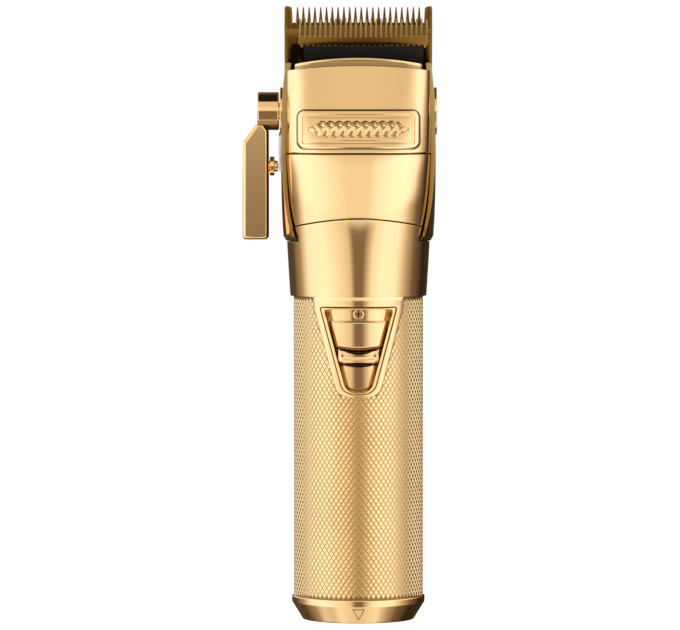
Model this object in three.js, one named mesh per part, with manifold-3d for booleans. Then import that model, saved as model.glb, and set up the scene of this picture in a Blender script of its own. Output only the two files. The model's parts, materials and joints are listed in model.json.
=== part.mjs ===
// Cordless hair clipper: a knurled tube handle, a wedge-shaped metal head, a tilted blade set and a taper lever.
// Millimetres. +Z runs up the handle to the blades, -Y is the face with the switch, +X is to the right of that face.
// The origin is the middle of the end cap's flat base.
import * as THREE from "three";
import { mergeVertices } from "three/addons/utils/BufferGeometryUtils.js";
import Module from "manifold-3d";

const wasm = await Module();
wasm.setup();

// ---------- driving dimensions ----------
const fitGap = 0.3; // between pieces that only seat on each other
const slideGap = 0.3; // between pieces that slide on each other
const boreGap = 0.1; // radial, between a shaft and its bearing

const handle = { radius: 19.05, wall: 1.2, length: 91.7 };
const cap = { radius: 19.55, baseRadius: 16.3, rimHeight: 7, chamferHeight: 5.2, floor: 3, skirtWall: 1.4 };
const port = { width: 9, depth: 5.4, wall: 1, length: 8, offset: 8 };
const contact = { radius: 1.8, spacing: 12, offset: -7, length: 4.4 };
const head = { height: 68.3, wall: 1.5, rearWall: 1.6, neckHeight: 16.2, creaseRise: 3, seamHeight: 41.8, seamGap: 0.35 };
const tongue = { halfTop: 13.1, halfBottom: 6.6, slantTop: -2.9, slantBottom: -26.9, bulge: 2.4, proud: 0.9 };
const bezel = { border: 1.7, rim: 0.7, topRim: 0.3, top: -2.9, floorDrop: 1.1 };
const slider = { travel: 3, gap: 0.35, thickness: 0.8, ridgeHeight: 5.6, ridgeProud: 1.5 };
const badge = { width: 35.6, height: 11.8, corner: 1.8, depth: 0.7, above: 1 };
const blade = { width: 43.5, length: 27, thickness: 2.6, tilt: 15, tipHeight: 84.6, tipForward: 1 };
const tooth = { count: 22, pitch: 1.7, length: 5.6, tipWidth: 0.36, rootWidth: 1.2, corner: 2.4, tipThickness: 0.7 };
const channel = { width: 39.2, start: 11.1, depth: 1.2, armEnd: 15.3, armDrop: 0.8 };
const cutter = { width: 38.3, tip: 3.3, length: 7.6, thickness: 1.9, count: 26, pitch: 1.486, toothLength: 4.6 };
const throwMm = 1.5; // the drive pin's offset, which is half the cutter's stroke
const drivePin = { radius: 1.1, length: 6 };
const motor = { radius: 11, length: 36, bossRadius: 4, bossHeight: 1.6, shaftRadius: 1.15, wall: 1, y: 2.4 };
const eccentric = { radius: 4, height: 5, clearAbove: 1.2 };
const battery = { radius: 9.2, length: 65, y: 3.6 };
const frame = { wall: 1.3, floor: 1.6 };
const board = { thickness: 1.6, width: 20, length: handle.length - 13.7 }; // reaches from the cradle to the switch
const lever = {
  hubRadius: 5.6, hubLength: 6.3, standOff: 0.3, armThickness: 7.7, armDrop: 37.8,
  armDepth: 8, chamfer: 4.2, screwRadius: 2.6,
};
const axisInBlade = { n: -3.05, s: -30.7 }; // the lever's axis, measured from the blade tips
const boss = { radius: 7, reach: 23.1, shaftRadius: 2.4 };
const crank = { radius: 3.2, pinRadius: 1, swing: 26, armRadius: 1.7, armThickness: 1.4 };
const plunger = {
  drop: 16.2, collarRadius: 2.8, collarLength: 1.35, sleeveRadius: 1.6, sleeveLength: 1, pinRadius: 0.7, tipGap: 0.1,
};
const detent = { stops: 4, outer: 17.8, thickness: 0.5, overrun: 4, landSpread: 1.2, landDepth: 7.5 };
const screw = { headRadius: 2.1, headHeight: 1.3, shankRadius: 1.1, driveWidth: 1.1, driveDepth: 0.7, length: 6 };

// ---------- places worked out from the dimensions ----------
const tilt = THREE.MathUtils.degToRad(blade.tilt);
const sleeveBottom = cap.rimHeight - fitGap - 3.2;
const neckZ = sleeveBottom + handle.length;
const headZ = (height) => neckZ + height;
const tipZ = headZ(blade.tipHeight);
const leverY = blade.tipForward + axisInBlade.n * Math.cos(tilt) - axisInBlade.s * Math.sin(tilt);
const leverZ = tipZ + axisInBlade.n * Math.sin(tilt) + axisInBlade.s * Math.cos(tilt);
const sleeveInner = handle.radius - handle.wall;

const gold = { color: 0xe8c078, roughness: 0.12, metalness: 1 };
const finishes = {
  polishedGold: new THREE.MeshStandardMaterial(gold),
  bladeGold: new THREE.MeshStandardMaterial({ color: 0x8a6a28, roughness: 0.3, metalness: 1 }),
  steel: new THREE.MeshStandardMaterial({ color: 0xc0c2c6, roughness: 0.25, metalness: 1 }),
  brass: new THREE.MeshStandardMaterial({ color: 0xc9a24a, roughness: 0.3, metalness: 1 }),
  blackPlastic: new THREE.MeshStandardMaterial({ color: 0x111112, roughness: 0.5, metalness: 0 }),
  batteryWrap: new THREE.MeshStandardMaterial({ color: 0x2b5fa8, roughness: 0.4, metalness: 0 }),
  circuit: new THREE.MeshStandardMaterial({ color: 0x1c5a34, roughness: 0.5, metalness: 0 }),
  redLead: new THREE.MeshStandardMaterial({ color: 0xa81c1c, roughness: 0.5, metalness: 0 }),
};

// ---------- solids ----------
// A geometry as a manifold-3d solid, with its faces turned outwards.
function solid(geometry) {
  const bare = geometry.index ? geometry.toNonIndexed() : geometry.clone();
  bare.deleteAttribute("normal");
  bare.deleteAttribute("uv");
  const merged = mergeVertices(bare, 1e-4);
  const corners = [];
  for (let i = 0; i < merged.index.count; i += 3) {
    const [a, b, c] = [0, 1, 2].map((k) => merged.index.getX(i + k));
    if (a !== b && b !== c && a !== c) corners.push([a, b, c]);
  }
  const build = (faces) =>
    new wasm.Manifold(
      new wasm.Mesh({
        numProp: 3,
        vertProperties: new Float32Array(merged.attributes.position.array),
        triVerts: new Uint32Array(faces.flat()),
      }),
    );
  const made = build(corners);
  return made.volume() < 0 ? build(corners.map(([a, b, c]) => [a, c, b])) : made;
}

function geometryOf(made) {
  const { vertProperties, triVerts } = made.getMesh();
  return new THREE.BufferGeometry()
    .setAttribute("position", new THREE.BufferAttribute(new Float32Array(vertProperties), 3))
    .setIndex(new THREE.BufferAttribute(new Uint32Array(triVerts), 1));
}

function node(name, made, finish) {
  const geometry = geometryOf(made).toNonIndexed();
  geometry.computeVertexNormals();
  const mesh = new THREE.Mesh(geometry, finishes[finish]);
  mesh.name = name;
  return mesh;
}

const join = (first, ...rest) => rest.reduce((whole, piece) => whole.add(piece), first);
const cut = (first, ...rest) => rest.reduce((whole, piece) => whole.subtract(piece), first);
const common = (first, ...rest) => rest.reduce((whole, piece) => whole.intersect(piece), first);

const box = (x0, x1, y0, y1, z0, z1) =>
  solid(new THREE.BoxGeometry(x1 - x0, y1 - y0, z1 - z0).translate((x0 + x1) / 2, (y0 + y1) / 2, (z0 + z1) / 2));

const pillar = (radius, z0, z1, x = 0, y = 0, sides = 32) =>
  solid(new THREE.CylinderGeometry(radius, radius, z1 - z0, sides).rotateX(Math.PI / 2).translate(x, y, (z0 + z1) / 2));

const rodX = (radius, x0, x1, y = 0, z = 0, sides = 32) =>
  solid(new THREE.CylinderGeometry(radius, radius, x1 - x0, sides).rotateZ(Math.PI / 2).translate((x0 + x1) / 2, y, z));

const rodY = (radius, y0, y1, x = 0, z = 0, sides = 32) =>
  solid(new THREE.CylinderGeometry(radius, radius, y1 - y0, sides).translate(x, (y0 + y1) / 2, z));

const pipe = (outer, inner, z0, z1, x = 0, y = 0, sides = 32) =>
  cut(pillar(outer, z0, z1, x, y, sides), pillar(inner, z0 - 1, z1 + 1, x, y, sides));

// A profile of [radius, height] points that closes on itself, turned about Z.
const turned = (profile, sides = 64) =>
  solid(
    new THREE.LatheGeometry([...profile, profile[0]].map(([r, z]) => new THREE.Vector2(r, z)), sides).rotateX(Math.PI / 2),
  );

// An outline drawn in X and Z, pushed along Y from y0 to y1.
function pushedY(shape, y0, y1, curveSegments = 8) {
  const geometry = new THREE.ExtrudeGeometry(shape, { depth: y1 - y0, bevelEnabled: false, curveSegments });
  return solid(geometry.rotateX(Math.PI / 2).translate(0, y1, 0));
}

// An outline drawn in Y and Z, pushed along X from x0 to x1.
function pushedX(shape, x0, x1, curveSegments = 8) {
  const geometry = new THREE.ExtrudeGeometry(shape, { depth: x1 - x0, bevelEnabled: false, curveSegments });
  return solid(geometry.rotateX(Math.PI / 2).rotateZ(Math.PI / 2).translate(x0, 0, 0));
}

const polygon = (points) => new THREE.Shape(points.map(([x, y]) => new THREE.Vector2(x, y)));

// Rings of points with the same count, joined into one closed skin.
function lofted(rings) {
  const count = rings[0].length;
  const positions = rings.flat().flatMap((p) => [p.x, p.y, p.z]);
  const faces = [];
  for (let r = 0; r + 1 < rings.length; r += 1)
    for (let i = 0; i < count; i += 1) {
      const j = (i + 1) % count;
      const [a, b, c, d] = [r * count + i, r * count + j, (r + 1) * count + j, (r + 1) * count + i];
      faces.push(a, b, c, a, c, d);
    }
  for (const [ring, first] of [[rings[0], 0], [rings.at(-1), (rings.length - 1) * count]]) {
    const middle = ring.reduce((sum, p) => sum.add(p), new THREE.Vector3()).divideScalar(count);
    const centre = positions.length / 3;
    positions.push(middle.x, middle.y, middle.z);
    for (let i = 0; i < count; i += 1) {
      const j = (i + 1) % count;
      faces.push(...(first ? [centre, first + i, first + j] : [centre, j, i]));
    }
  }
  const geometry = new THREE.BufferGeometry();
  geometry.setAttribute("position", new THREE.Float32BufferAttribute(positions, 3));
  geometry.setIndex(faces);
  return solid(geometry);
}

// ---------- the head's outer form ----------
// Each row gives, at a height above the neck, the half width, the reach to the front and to the rear, how far the
// rear housing's rim stands out beside it, and the roundness of the corners, where 2 is an ellipse.
const R = handle.radius + 0.95;
const coreForm = [
  { at: 0, half: R, front: R, rear: R, band: 1, corner: 2 },
  { at: 8, half: R + 0.5, front: R + 0.5, rear: R - 0.1, band: 1, corner: 2.05 },
  { at: head.neckHeight, half: R + 0.95, front: R + 0.9, rear: R - 0.7, band: 1, corner: 2.15 },
  { at: 24, half: R + 1.1, front: R + 0.8, rear: R - 1.6, band: 1.3, corner: 2.35 },
  { at: 33, half: R + 1.2, front: R - 0.1, rear: R - 2.9, band: 1.45, corner: 2.5 },
  { at: head.seamHeight, half: R + 1.25, front: R - 1.7, rear: R - 4.2, band: 1.45, corner: 2.65 },
  { at: 50, half: R + 1.2, front: R - 4.6, rear: R - 5.8, band: 1.4, corner: 2.8 },
  { at: 58, half: R + 1.1, front: R - 7.9, rear: R - 7.4, band: 1.25, corner: 2.95 },
  { at: head.height, half: R + 0.95, front: R - 11.5, rear: R - 9, band: 0.5, corner: 3.1 },
];

function formAt(height) {
  const above = coreForm.findIndex((row) => row.at >= height);
  if (above < 0) return coreForm.at(-1);
  if (above === 0) return coreForm[0];
  const [low, high] = [coreForm[above - 1], coreForm[above]];
  const share = (height - low.at) / (high.at - low.at);
  const mix = (key) => THREE.MathUtils.lerp(low[key], high[key], share);
  return Object.fromEntries(["half", "front", "rear", "band", "corner"].map((key) => [key, mix(key)]));
}

function formRing(height, grow, sides) {
  const { half, front, rear, band, corner } = formAt(height);
  const reach = { half: half + grow.side + (grow.banded ? band : 0), front: front + grow.front, rear: rear + grow.rear };
  return Array.from({ length: sides }, (_, i) => {
    const angle = (i / sides) * 2 * Math.PI;
    const curve = (value) => Math.sign(value) * Math.abs(value) ** (2 / corner);
    const depth = Math.sin(angle) < 0 ? reach.front : reach.rear;
    return new THREE.Vector3(reach.half * curve(Math.cos(angle)), depth * curve(Math.sin(angle)), headZ(height));
  });
}

// The head's form between two heights, grown by so much at its sides, front and rear.
function headForm(low, high, grow, sides = 56) {
  const levels = [low, ...coreForm.map((row) => row.at).filter((at) => at > low + 0.5 && at < high - 0.5), high];
  return lofted(levels.map((height) => formRing(height, grow, sides)));
}

const even = (value) => ({ side: value, front: value, rear: value });
const shellGrow = { side: 0, front: 1.45, rear: 1.5, banded: true };
const lessWall = (grow, wall) => ({ ...grow, side: grow.side - wall, front: grow.front - wall, rear: grow.rear - wall });

// The line where the front covers meet the rear housing, seen from the side.
const splitLine = [
  [-12.6, head.neckHeight], [-11.6, head.neckHeight + 3], [-4.1, head.seamHeight], [-1, 54], [1.5, head.height + 4],
];
const frontOfSplit = (gap) => {
  const edge = [[splitLine[0][0], head.neckHeight - fitGap - 0.5], ...splitLine].map(([y, at]) => [y - gap, headZ(at)]);
  const [low, high] = [edge[0][1], edge.at(-1)[1]];
  return pushedX(polygon([...edge, [-40, high], [-40, low]]), -40, 40);
};

// Everything below an arched line across the front: high in the middle, low at the sides.
function belowArch(middle, rise, halfSpan) {
  const shape = new THREE.Shape();
  const radius = (halfSpan ** 2 + rise ** 2) / (2 * rise);
  const start = Math.PI / 2 + Math.asin(halfSpan / radius);
  const end = Math.PI / 2 - Math.asin(halfSpan / radius);
  shape.moveTo(-60, headZ(-80));
  shape.lineTo(-60, headZ(middle - rise));
  shape.lineTo(-halfSpan, headZ(middle - rise));
  shape.absarc(0, headZ(middle) - radius, radius, start, end, true);
  shape.lineTo(60, headZ(middle - rise));
  shape.lineTo(60, headZ(-80));
  return pushedY(shape, -60, 60, 14);
}

// ---------- the handle ----------
// A tapering outline with straight slanted sides and a bulging foot, given by its edge heights and half widths.
function taperOutline(top, halfTop, bottom, halfBottom, bulge) {
  const shape = new THREE.Shape();
  shape.moveTo(-halfTop, top);
  shape.lineTo(halfTop, top);
  shape.lineTo(halfBottom, bottom);
  shape.quadraticCurveTo(halfBottom * 0.82, bottom - bulge, 0, bottom - bulge);
  shape.quadraticCurveTo(-halfBottom * 0.82, bottom - bulge, -halfBottom, bottom);
  return shape;
}

const slope = (tongue.halfTop - tongue.halfBottom) / (tongue.slantTop - tongue.slantBottom);
const tongueHalfAt = (height) => tongue.halfBottom + slope * (height - tongue.slantBottom);

// The tongue's outline drawn in by an even border, with its top edge at a given height.
function insetTaper(inset, top) {
  const bottom = tongue.slantBottom + inset * 0.6;
  const sideways = inset * Math.hypot(1, slope);
  return taperOutline(
    headZ(top), tongueHalfAt(top) - sideways, headZ(bottom), tongueHalfAt(bottom) - sideways, tongue.bulge,
  );
}

// A band of the handle's front between two radii, in the plan of an outline.
const onHandle = (shape, inner, outer) =>
  cut(common(pushedY(shape, -outer - 5, -2), pillar(outer, sleeveBottom, headZ(6), 0, 0, 96)),
    pillar(inner, sleeveBottom - 1, headZ(7), 0, 0, 96));

const notchShape = () => {
  const shape = insetTaper(-fitGap, tongue.slantTop);
  const whole = join(
    pushedY(shape, -40, -2),
    box(-tongue.halfTop - fitGap, tongue.halfTop + fitGap, -40, -2, headZ(tongue.slantTop - 0.1), headZ(10)),
  );
  return whole;
};

function handleSleeve() {
  const tube = cut(
    pillar(handle.radius, sleeveBottom, neckZ, 0, 0, 96),
    pillar(sleeveInner, sleeveBottom - 1, neckZ + 1, 0, 0, 96),
  );
  return cut(tube, notchShape());
}

function neckShell() {
  const skirt = cut(headForm(0, head.seamHeight, even(0)), headForm(-1, head.seamHeight + 1, even(-head.wall)));
  const ring = common(skirt, box(-40, 40, -40, 40, headZ(-1), headZ(head.neckHeight - fitGap)));
  const apron = common(skirt, belowArch(head.neckHeight + 6.3, head.creaseRise, head.neckHeight + 5), frontOfSplit(0.15));
  const outer = handle.radius + tongue.proud;
  const strip = join(
    onHandle(insetTaper(0, tongue.slantTop), sleeveInner, outer),
    common(
      box(-tongue.halfTop, tongue.halfTop, -40, -2, headZ(tongue.slantTop - 0.05), headZ(1)),
      cut(pillar(outer, sleeveBottom, headZ(1), 0, 0, 96), pillar(handle.radius - head.wall, sleeveBottom, headZ(2), 0, 0, 96)),
    ),
  );
  const window = pushedY(insetTaper(bezel.border, bezel.top), -40, -2);
  const whole = join(ring, apron, strip);
  return cut(whole, window);
}

// The recessed tray that the switch slides in.
function switchBezel() {
  const outer = handle.radius + tongue.proud + 0.35;
  const tray = onHandle(insetTaper(bezel.border + fitGap, bezel.top - fitGap), sleeveInner - 0.9, outer);
  const recess = onHandle(
    insetTaper(bezel.border + fitGap + bezel.rim, bezel.top - fitGap - bezel.topRim), handle.radius - bezel.floorDrop, outer + 1,
  );
  const slot = box(-1.7, 1.7, -40, -5, headZ(-20), headZ(-10));
  return cut(tray, recess, slot);
}

const sliderTop = bezel.top - fitGap - bezel.topRim - slider.gap - slider.travel;

function switchSlider() {
  const floor = handle.radius - bezel.floorDrop + slider.gap;
  const face = floor + slider.thickness;
  const outline = insetTaper(bezel.border + fitGap + bezel.rim + slider.gap, sliderTop);
  const plate = onHandle(outline, floor, face);
  const ridgeMiddle = sliderTop - 10;
  const ridge = common(
    onHandle(outline, floor, face + slider.ridgeProud),
    box(-30, 30, -40, 0, headZ(ridgeMiddle - slider.ridgeHeight / 2), headZ(ridgeMiddle + slider.ridgeHeight / 2)),
  );
  const scoop = rodX(slider.ridgeHeight * 1.1, -20, 20, -(face + slider.ridgeHeight * 1.1 + 0.5), headZ(ridgeMiddle), 40);
  const stemFoot = -(sleeveInner - 3.4);
  const stem = box(-1.3, 1.3, -floor - 0.3, stemFoot, headZ(-16.6), headZ(-14));
  return join(plate, cut(ridge, scoop), stem);
}

// ---------- the end cap ----------
function endCap() {
  const bore = handle.radius + fitGap;
  const inner = sleeveInner - fitGap;
  const shell = turned([
    [0, 0], [cap.baseRadius, 0], [cap.radius, cap.chamferHeight], [cap.radius, cap.rimHeight], [bore, cap.rimHeight],
    [bore, sleeveBottom - fitGap], [inner, sleeveBottom - fitGap], [inner, cap.rimHeight + 2],
    [inner - cap.skirtWall, cap.rimHeight + 2], [inner - cap.skirtWall, cap.floor], [0, cap.floor],
  ]);
  const well = box(
    -port.width / 2 - port.wall - fitGap, port.width / 2 + port.wall + fitGap,
    port.offset - port.depth / 2 - port.wall - fitGap, port.offset + port.depth / 2 + port.wall + fitGap, -1, 10,
  );
  const contactHoles = [-1, 1].map((side) =>
    pillar(contact.radius + fitGap, -1, 10, (side * contact.spacing) / 2, contact.offset, 24),
  );
  return cut(shell, well, ...contactHoles);
}

function chargePort() {
  const [w, d] = [port.width / 2, port.depth / 2];
  const block = box(-w - port.wall, w + port.wall, port.offset - d - port.wall, port.offset + d + port.wall, 0.4, port.length + 2);
  const hole = box(-w, w, port.offset - d, port.offset + d, 0, port.length);
  const pins = [-1, 1].map((side) => pillar(0.5, port.length - 1.2, port.length + 1, side * 2.6, port.offset, 10));
  return join(cut(block, hole), ...pins);
}

const chargeContact = (side) =>
  pillar(contact.radius, 0.25, contact.length, (side * contact.spacing) / 2, contact.offset, 24);

// ---------- the front covers and the rear housing ----------
const creaseTop = head.neckHeight + 6.3;

function midPanel() {
  const skin = cut(headForm(head.neckHeight, head.seamHeight - head.seamGap, even(0)),
    headForm(head.neckHeight - 1, head.seamHeight + 1, even(-head.wall)));
  return cut(common(skin, frontOfSplit(0.15)), belowArch(creaseTop + head.seamGap, head.creaseRise, head.neckHeight + 5));
}

const badgeMiddle = head.seamHeight + badge.above + badge.height / 2;
const faceSlope = () => {
  const low = formAt(badgeMiddle - badge.height / 2).front;
  const high = formAt(badgeMiddle + badge.height / 2).front;
  return Math.atan2(low - high, badge.height);
};

// The badge's rounded outline, grown by a gap, pushed through the sloping face between two depths.
function badgeBlock(grow, outward, inward, sides = 6) {
  const [w, h, r] = [badge.width / 2 + grow, badge.height / 2 + grow, badge.corner + grow];
  const shape = new THREE.Shape();
  shape.moveTo(-w + r, -h);
  shape.lineTo(w - r, -h);
  shape.absarc(w - r, -h + r, r, -Math.PI / 2, 0, false);
  shape.lineTo(w, h - r);
  shape.absarc(w - r, h - r, r, 0, Math.PI / 2, false);
  shape.lineTo(-w + r, h);
  shape.absarc(-w + r, h - r, r, Math.PI / 2, Math.PI, false);
  shape.lineTo(-w, -h + r);
  shape.absarc(-w + r, -h + r, r, Math.PI, 1.5 * Math.PI, false);
  const geometry = new THREE.ExtrudeGeometry(shape, { depth: outward + inward, bevelEnabled: false, curveSegments: sides });
  geometry.rotateX(Math.PI / 2).translate(0, inward, 0).rotateX(-faceSlope());
  return solid(geometry.translate(0, -formAt(badgeMiddle).front, headZ(badgeMiddle)));
}

const badgeBand = (outer, inner) =>
  cut(headForm(head.seamHeight - 2, head.height, even(outer)), headForm(head.seamHeight - 3, head.height + 1, even(inner)));

const faceTop = 67.4; // the face cover's top edge at its middle, above the neck

function faceCover() {
  const skin = cut(headForm(head.seamHeight, head.height, even(0)), headForm(head.seamHeight - 1, head.height + 1, even(-head.wall)));
  const pocket = common(badgeBlock(fitGap, 8, 10), badgeBand(2, -badge.depth));
  return cut(common(skin, frontOfSplit(0.15), belowArch(faceTop, 1.4, 21)), pocket);
}

const nameBadge = () => common(badgeBlock(0, 8, 10), badgeBand(0.25, -badge.depth + 0.2));

// The curved lip that closes the mouth between the face cover and the blades.
function mouthRim() {
  const skin = cut(
    headForm(60, head.height, even(-head.wall - fitGap)),
    headForm(59, head.height + 1, even(-head.wall - fitGap - 1.8)),
  );
  const raised = lofted([head.height - 0.01, head.height + 4].map((height) =>
    formRing(head.height, even(-head.wall - fitGap), 56).map((p) => p.clone().setZ(headZ(height)))));
  const hollow = lofted([head.height - 1, head.height + 5].map((height) =>
    formRing(head.height, even(-head.wall - fitGap - 1.8), 56).map((p) => p.clone().setZ(headZ(height)))));
  const arch = belowArch(faceTop + 3.1, 1.5, 20);
  return common(join(skin, cut(raised, hollow)), arch, box(-19.4, 19.4, -40, -3, headZ(60), headZ(80)));
}

const rimChamfer = 1.4;
const rearTop = 56.8; // where the rear housing stops behind the blade, above the neck
const rearForm = (inset) =>
  headForm(head.neckHeight - 2, head.height, lessWall(shellGrow, inset));

// The rear housing's outer form, with the chamfer that meets the neck.
function rearOuter() {
  const rows = coreForm.map((row) => row.at).filter((at) => at > head.neckHeight + 2);
  return lofted([
    formRing(head.neckHeight, even(0.3), 56),
    ...[head.neckHeight + rimChamfer, ...rows].map((at) => formRing(at, shellGrow, 56)),
  ]);
}

// How far to the rear the housing's outer face is, at a height and a distance from the middle.
function rearFaceAt(at, x) {
  const { half, rear, band, corner } = formAt(at);
  return (rear + shellGrow.rear) * (1 - (Math.abs(x) / (half + band)) ** corner) ** (1 / corner);
}

function rearHousing() {
  const shell = cut(rearOuter(), rearForm(head.rearWall));
  const behind = cut(box(-40, 40, -40, 40, headZ(head.neckHeight), headZ(head.height)), frontOfSplit(0));
  const bladeBay = box(-21.8 - 1, 22.8, leverY - 1, 40, headZ(rearTop), headZ(80));
  const bore = rodX(boss.shaftRadius + boreGap, -40, 0, leverY, leverZ, 24);
  const seats = [-1, 1].map((side) =>
    rodX(boss.radius + fitGap, side < 0 ? -40 : bossBack, side < 0 ? -bossBack : 40, leverY, leverZ, 40));
  const landFace = plateInner + boreGap;
  const land = lofted([detentRing(0.4, landFace), detentRing(detent.landSpread, landFace + detent.landDepth)]);
  const holes = rearScrewSpots.map(([x, at]) => rodY(screw.shankRadius + fitGap, 0, 40, x, headZ(at), 16));
  const sinks = rearScrewSpots.map(([x, at]) =>
    rodY(screw.headRadius + fitGap, screwFaceAt([x, at]) - 0.7, 40, x, headZ(at), 20));
  const whole = join(common(shell, behind), cut(common(land, behind), rearForm(head.rearWall)));
  return cut(whole, bladeBay, bore, ...seats, ...holes, ...sinks);
}

const bossBack = boss.reach - 1.35; // the seat that each side boss stands in
const rearScrewSpots = [[-6, 21], [6, 21]];
const screwFaceAt = ([x, at]) => rearFaceAt(at, x + Math.sign(x) * screw.headRadius) - 0.1;

const leverBoss = () =>
  cut(rodX(boss.radius, -boss.reach, -bossBack - fitGap, leverY, leverZ, 40),
    rodX(boss.shaftRadius + boreGap, -40, 0, leverY, leverZ, 24));

const sideCap = () => rodX(boss.radius, bossBack + fitGap, boss.reach, leverY, leverZ, 40);

// ---------- the taper lever ----------
const hubInner = -boss.reach - lever.standOff;
const hubOuter = hubInner - lever.hubLength;
const armInner = hubInner - 3; // the arm's inner face
const armOuter = armInner - lever.armThickness;

function taperLever() {
  const hub = rodX(lever.hubRadius, hubOuter, hubInner, leverY, leverZ, 40);
  const foot = leverZ - lever.armDrop;
  const top = leverZ - 3.6;
  const outline = polygon([
    [armOuter, foot], [armInner, foot], [armInner, top - 2.2], [armInner - 1.4, top],
    [armOuter + lever.chamfer, top], [armOuter, top - 5.6],
  ]);
  const half = lever.armDepth / 2;
  const arm = pushedY(outline, leverY - half, leverY + half);
  const seat = rodX(plunger.sleeveRadius + fitGap, armInner - 2.6, armInner + 5, leverY, leverZ - plunger.drop, 20);
  const screwSeat = rodX(lever.screwRadius + fitGap, hubOuter - 20, hubOuter + 1.4, leverY, leverZ, 24);
  const shaftHole = rodX(boss.shaftRadius + boreGap, hubOuter + 1.2, hubInner + 5, leverY, leverZ, 24);
  return cut(join(hub, arm), seat, screwSeat, shaftHole);
}

const leverScrew = () =>
  cut(rodX(lever.screwRadius, hubOuter + 0.2, hubOuter + 1, leverY, leverZ, 24),
    box(hubOuter - 1, hubOuter + 0.6, leverY - 0.4, leverY + 0.4, leverZ - 2, leverZ + 2));

function plungerCollar() {
  const z = leverZ - plunger.drop;
  const start = armInner + fitGap;
  const flange = rodX(plunger.collarRadius, start, start + plunger.collarLength, leverY, z, 28);
  const neck = rodX(plunger.sleeveRadius, armInner - 2.3, start + plunger.collarLength + plunger.sleeveLength, leverY, z, 20);
  return cut(join(flange, neck), rodX(plunger.pinRadius + boreGap, armInner - 10, 0, leverY, z, 16));
}

// The steel plate that the plunger clicks along: a sector of a ring round the boss, with a hole at each stop.
const plateOuter = armInner + fitGap + plunger.collarLength + plunger.sleeveLength + 0.3;
const plateInner = plateOuter + detent.thickness;
const stopAngles = Array.from({ length: detent.stops }, (_, i) =>
  THREE.MathUtils.degToRad(-90 + (crank.swing * i) / (detent.stops - 1)));

// The sector's outline at one place along X, grown outwards by so much.
function detentRing(grow, x) {
  const over = THREE.MathUtils.degToRad(detent.overrun) + grow / detent.outer;
  const [start, end] = [stopAngles[0] - over, stopAngles.at(-1) + over];
  const arc = (radius, from, to, steps) =>
    Array.from({ length: steps + 1 }, (_, i) => {
      const angle = from + ((to - from) * i) / steps;
      return new THREE.Vector3(x, leverY + radius * Math.cos(angle), leverZ + radius * Math.sin(angle));
    });
  return [...arc(detent.outer + grow, start, end, 16), ...arc(boss.radius + fitGap, end, start, 8)];
}

function detentPlate() {
  const holes = stopAngles.map((angle) => {
    const [y, z] = [leverY + plunger.drop * Math.cos(angle), leverZ + plunger.drop * Math.sin(angle)];
    return rodX(plunger.pinRadius + 0.25, -60, 0, y, z, 14);
  });
  return cut(lofted([detentRing(0, plateOuter), detentRing(0, plateInner)]), ...holes);
}

const plungerPin = () =>
  rodX(plunger.pinRadius, armInner - 1, plateOuter - plunger.tipGap, leverY, leverZ - plunger.drop, 16);

// ---------- the blade set, drawn in the blades' own frame ----------
// There X is the head's X, Y points out of the skin side, and Z runs to the tips from 0 at the tips downwards.
function toothedOutline({ half, length, count, pitch, depth, tipWidth, rootWidth, cornerWidth }) {
  const corner = [[half - cornerWidth - 0.5, -depth - 0.3], [half - cornerWidth, 0], [half - 0.8, 0], [half, -0.8]];
  const rightEnd = cornerWidth ? corner : [[half, -depth]];
  const leftEnd = rightEnd.map(([x, s]) => [-x, s]).reverse();
  const teeth = Array.from({ length: count }, (_, i) => (i - (count - 1) / 2) * pitch).flatMap((x) => [
    [x - rootWidth / 2, -depth], [x - tipWidth / 2, -0.1], [x + tipWidth / 2, -0.1], [x + rootWidth / 2, -depth],
  ]);
  return polygon([[-half, -length], ...leftEnd, ...teeth, ...rightEnd, [half, -length]]);
}

function fixedBlade() {
  const half = blade.width / 2;
  const outline = toothedOutline({
    half, length: blade.length, count: tooth.count, pitch: tooth.pitch, depth: tooth.length,
    tipWidth: tooth.tipWidth, rootWidth: tooth.rootWidth, cornerWidth: tooth.corner,
  });
  const plate = pushedY(outline, 0, blade.thickness);
  const tipBevel = pushedX(
    polygon([[tooth.tipThickness, 1], [blade.thickness + 1, 1], [blade.thickness + 1, -8], [blade.thickness, -8]]), -40, 40,
  );
  const channelHalf = channel.width / 2;
  const trough = box(-channelHalf, channelHalf, -1, channel.depth, -60, -channel.start);
  const ledge = box(-40, 40, -1, channel.armDrop, -60, -channel.armEnd);
  const holes = bladeScrewSpots.map((x) => rodY(screw.shankRadius + fitGap, -1, 10, x, bladeScrewS, 16));
  const sinks = bladeScrewSpots.map((x) =>
    rodY(screw.headRadius + fitGap, blade.thickness - screw.headHeight + 0.2, 10, x, bladeScrewS, 20));
  return cut(plate, tipBevel, trough, ledge, ...holes, ...sinks);
}

const bladeScrewSpots = [-14, 14];
const bladeScrewS = -23;

function bladeScrew(x) {
  const head = rodY(screw.headRadius, blade.thickness - screw.headHeight + 0.5, blade.thickness - 0.1, x, bladeScrewS, 20);
  const shank = rodY(screw.shankRadius, -3, blade.thickness - screw.headHeight + 0.6, x, bladeScrewS, 12);
  return cut(join(head, shank), crossRecess(x, blade.thickness, bladeScrewS, 1));
}

// A cross-shaped recess in a screw head that faces along Y.
const crossRecess = (x, faceY, z, way) => {
  const [w, l] = [screw.driveWidth / 4, screw.driveWidth];
  const [y0, y1] = way > 0 ? [faceY - screw.driveDepth, faceY + 1] : [faceY - 1, faceY + screw.driveDepth];
  return join(box(x - w, x + w, y0, y1, z - l, z + l), box(x - l, x + l, y0, y1, z - w, z + w));
};

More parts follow.
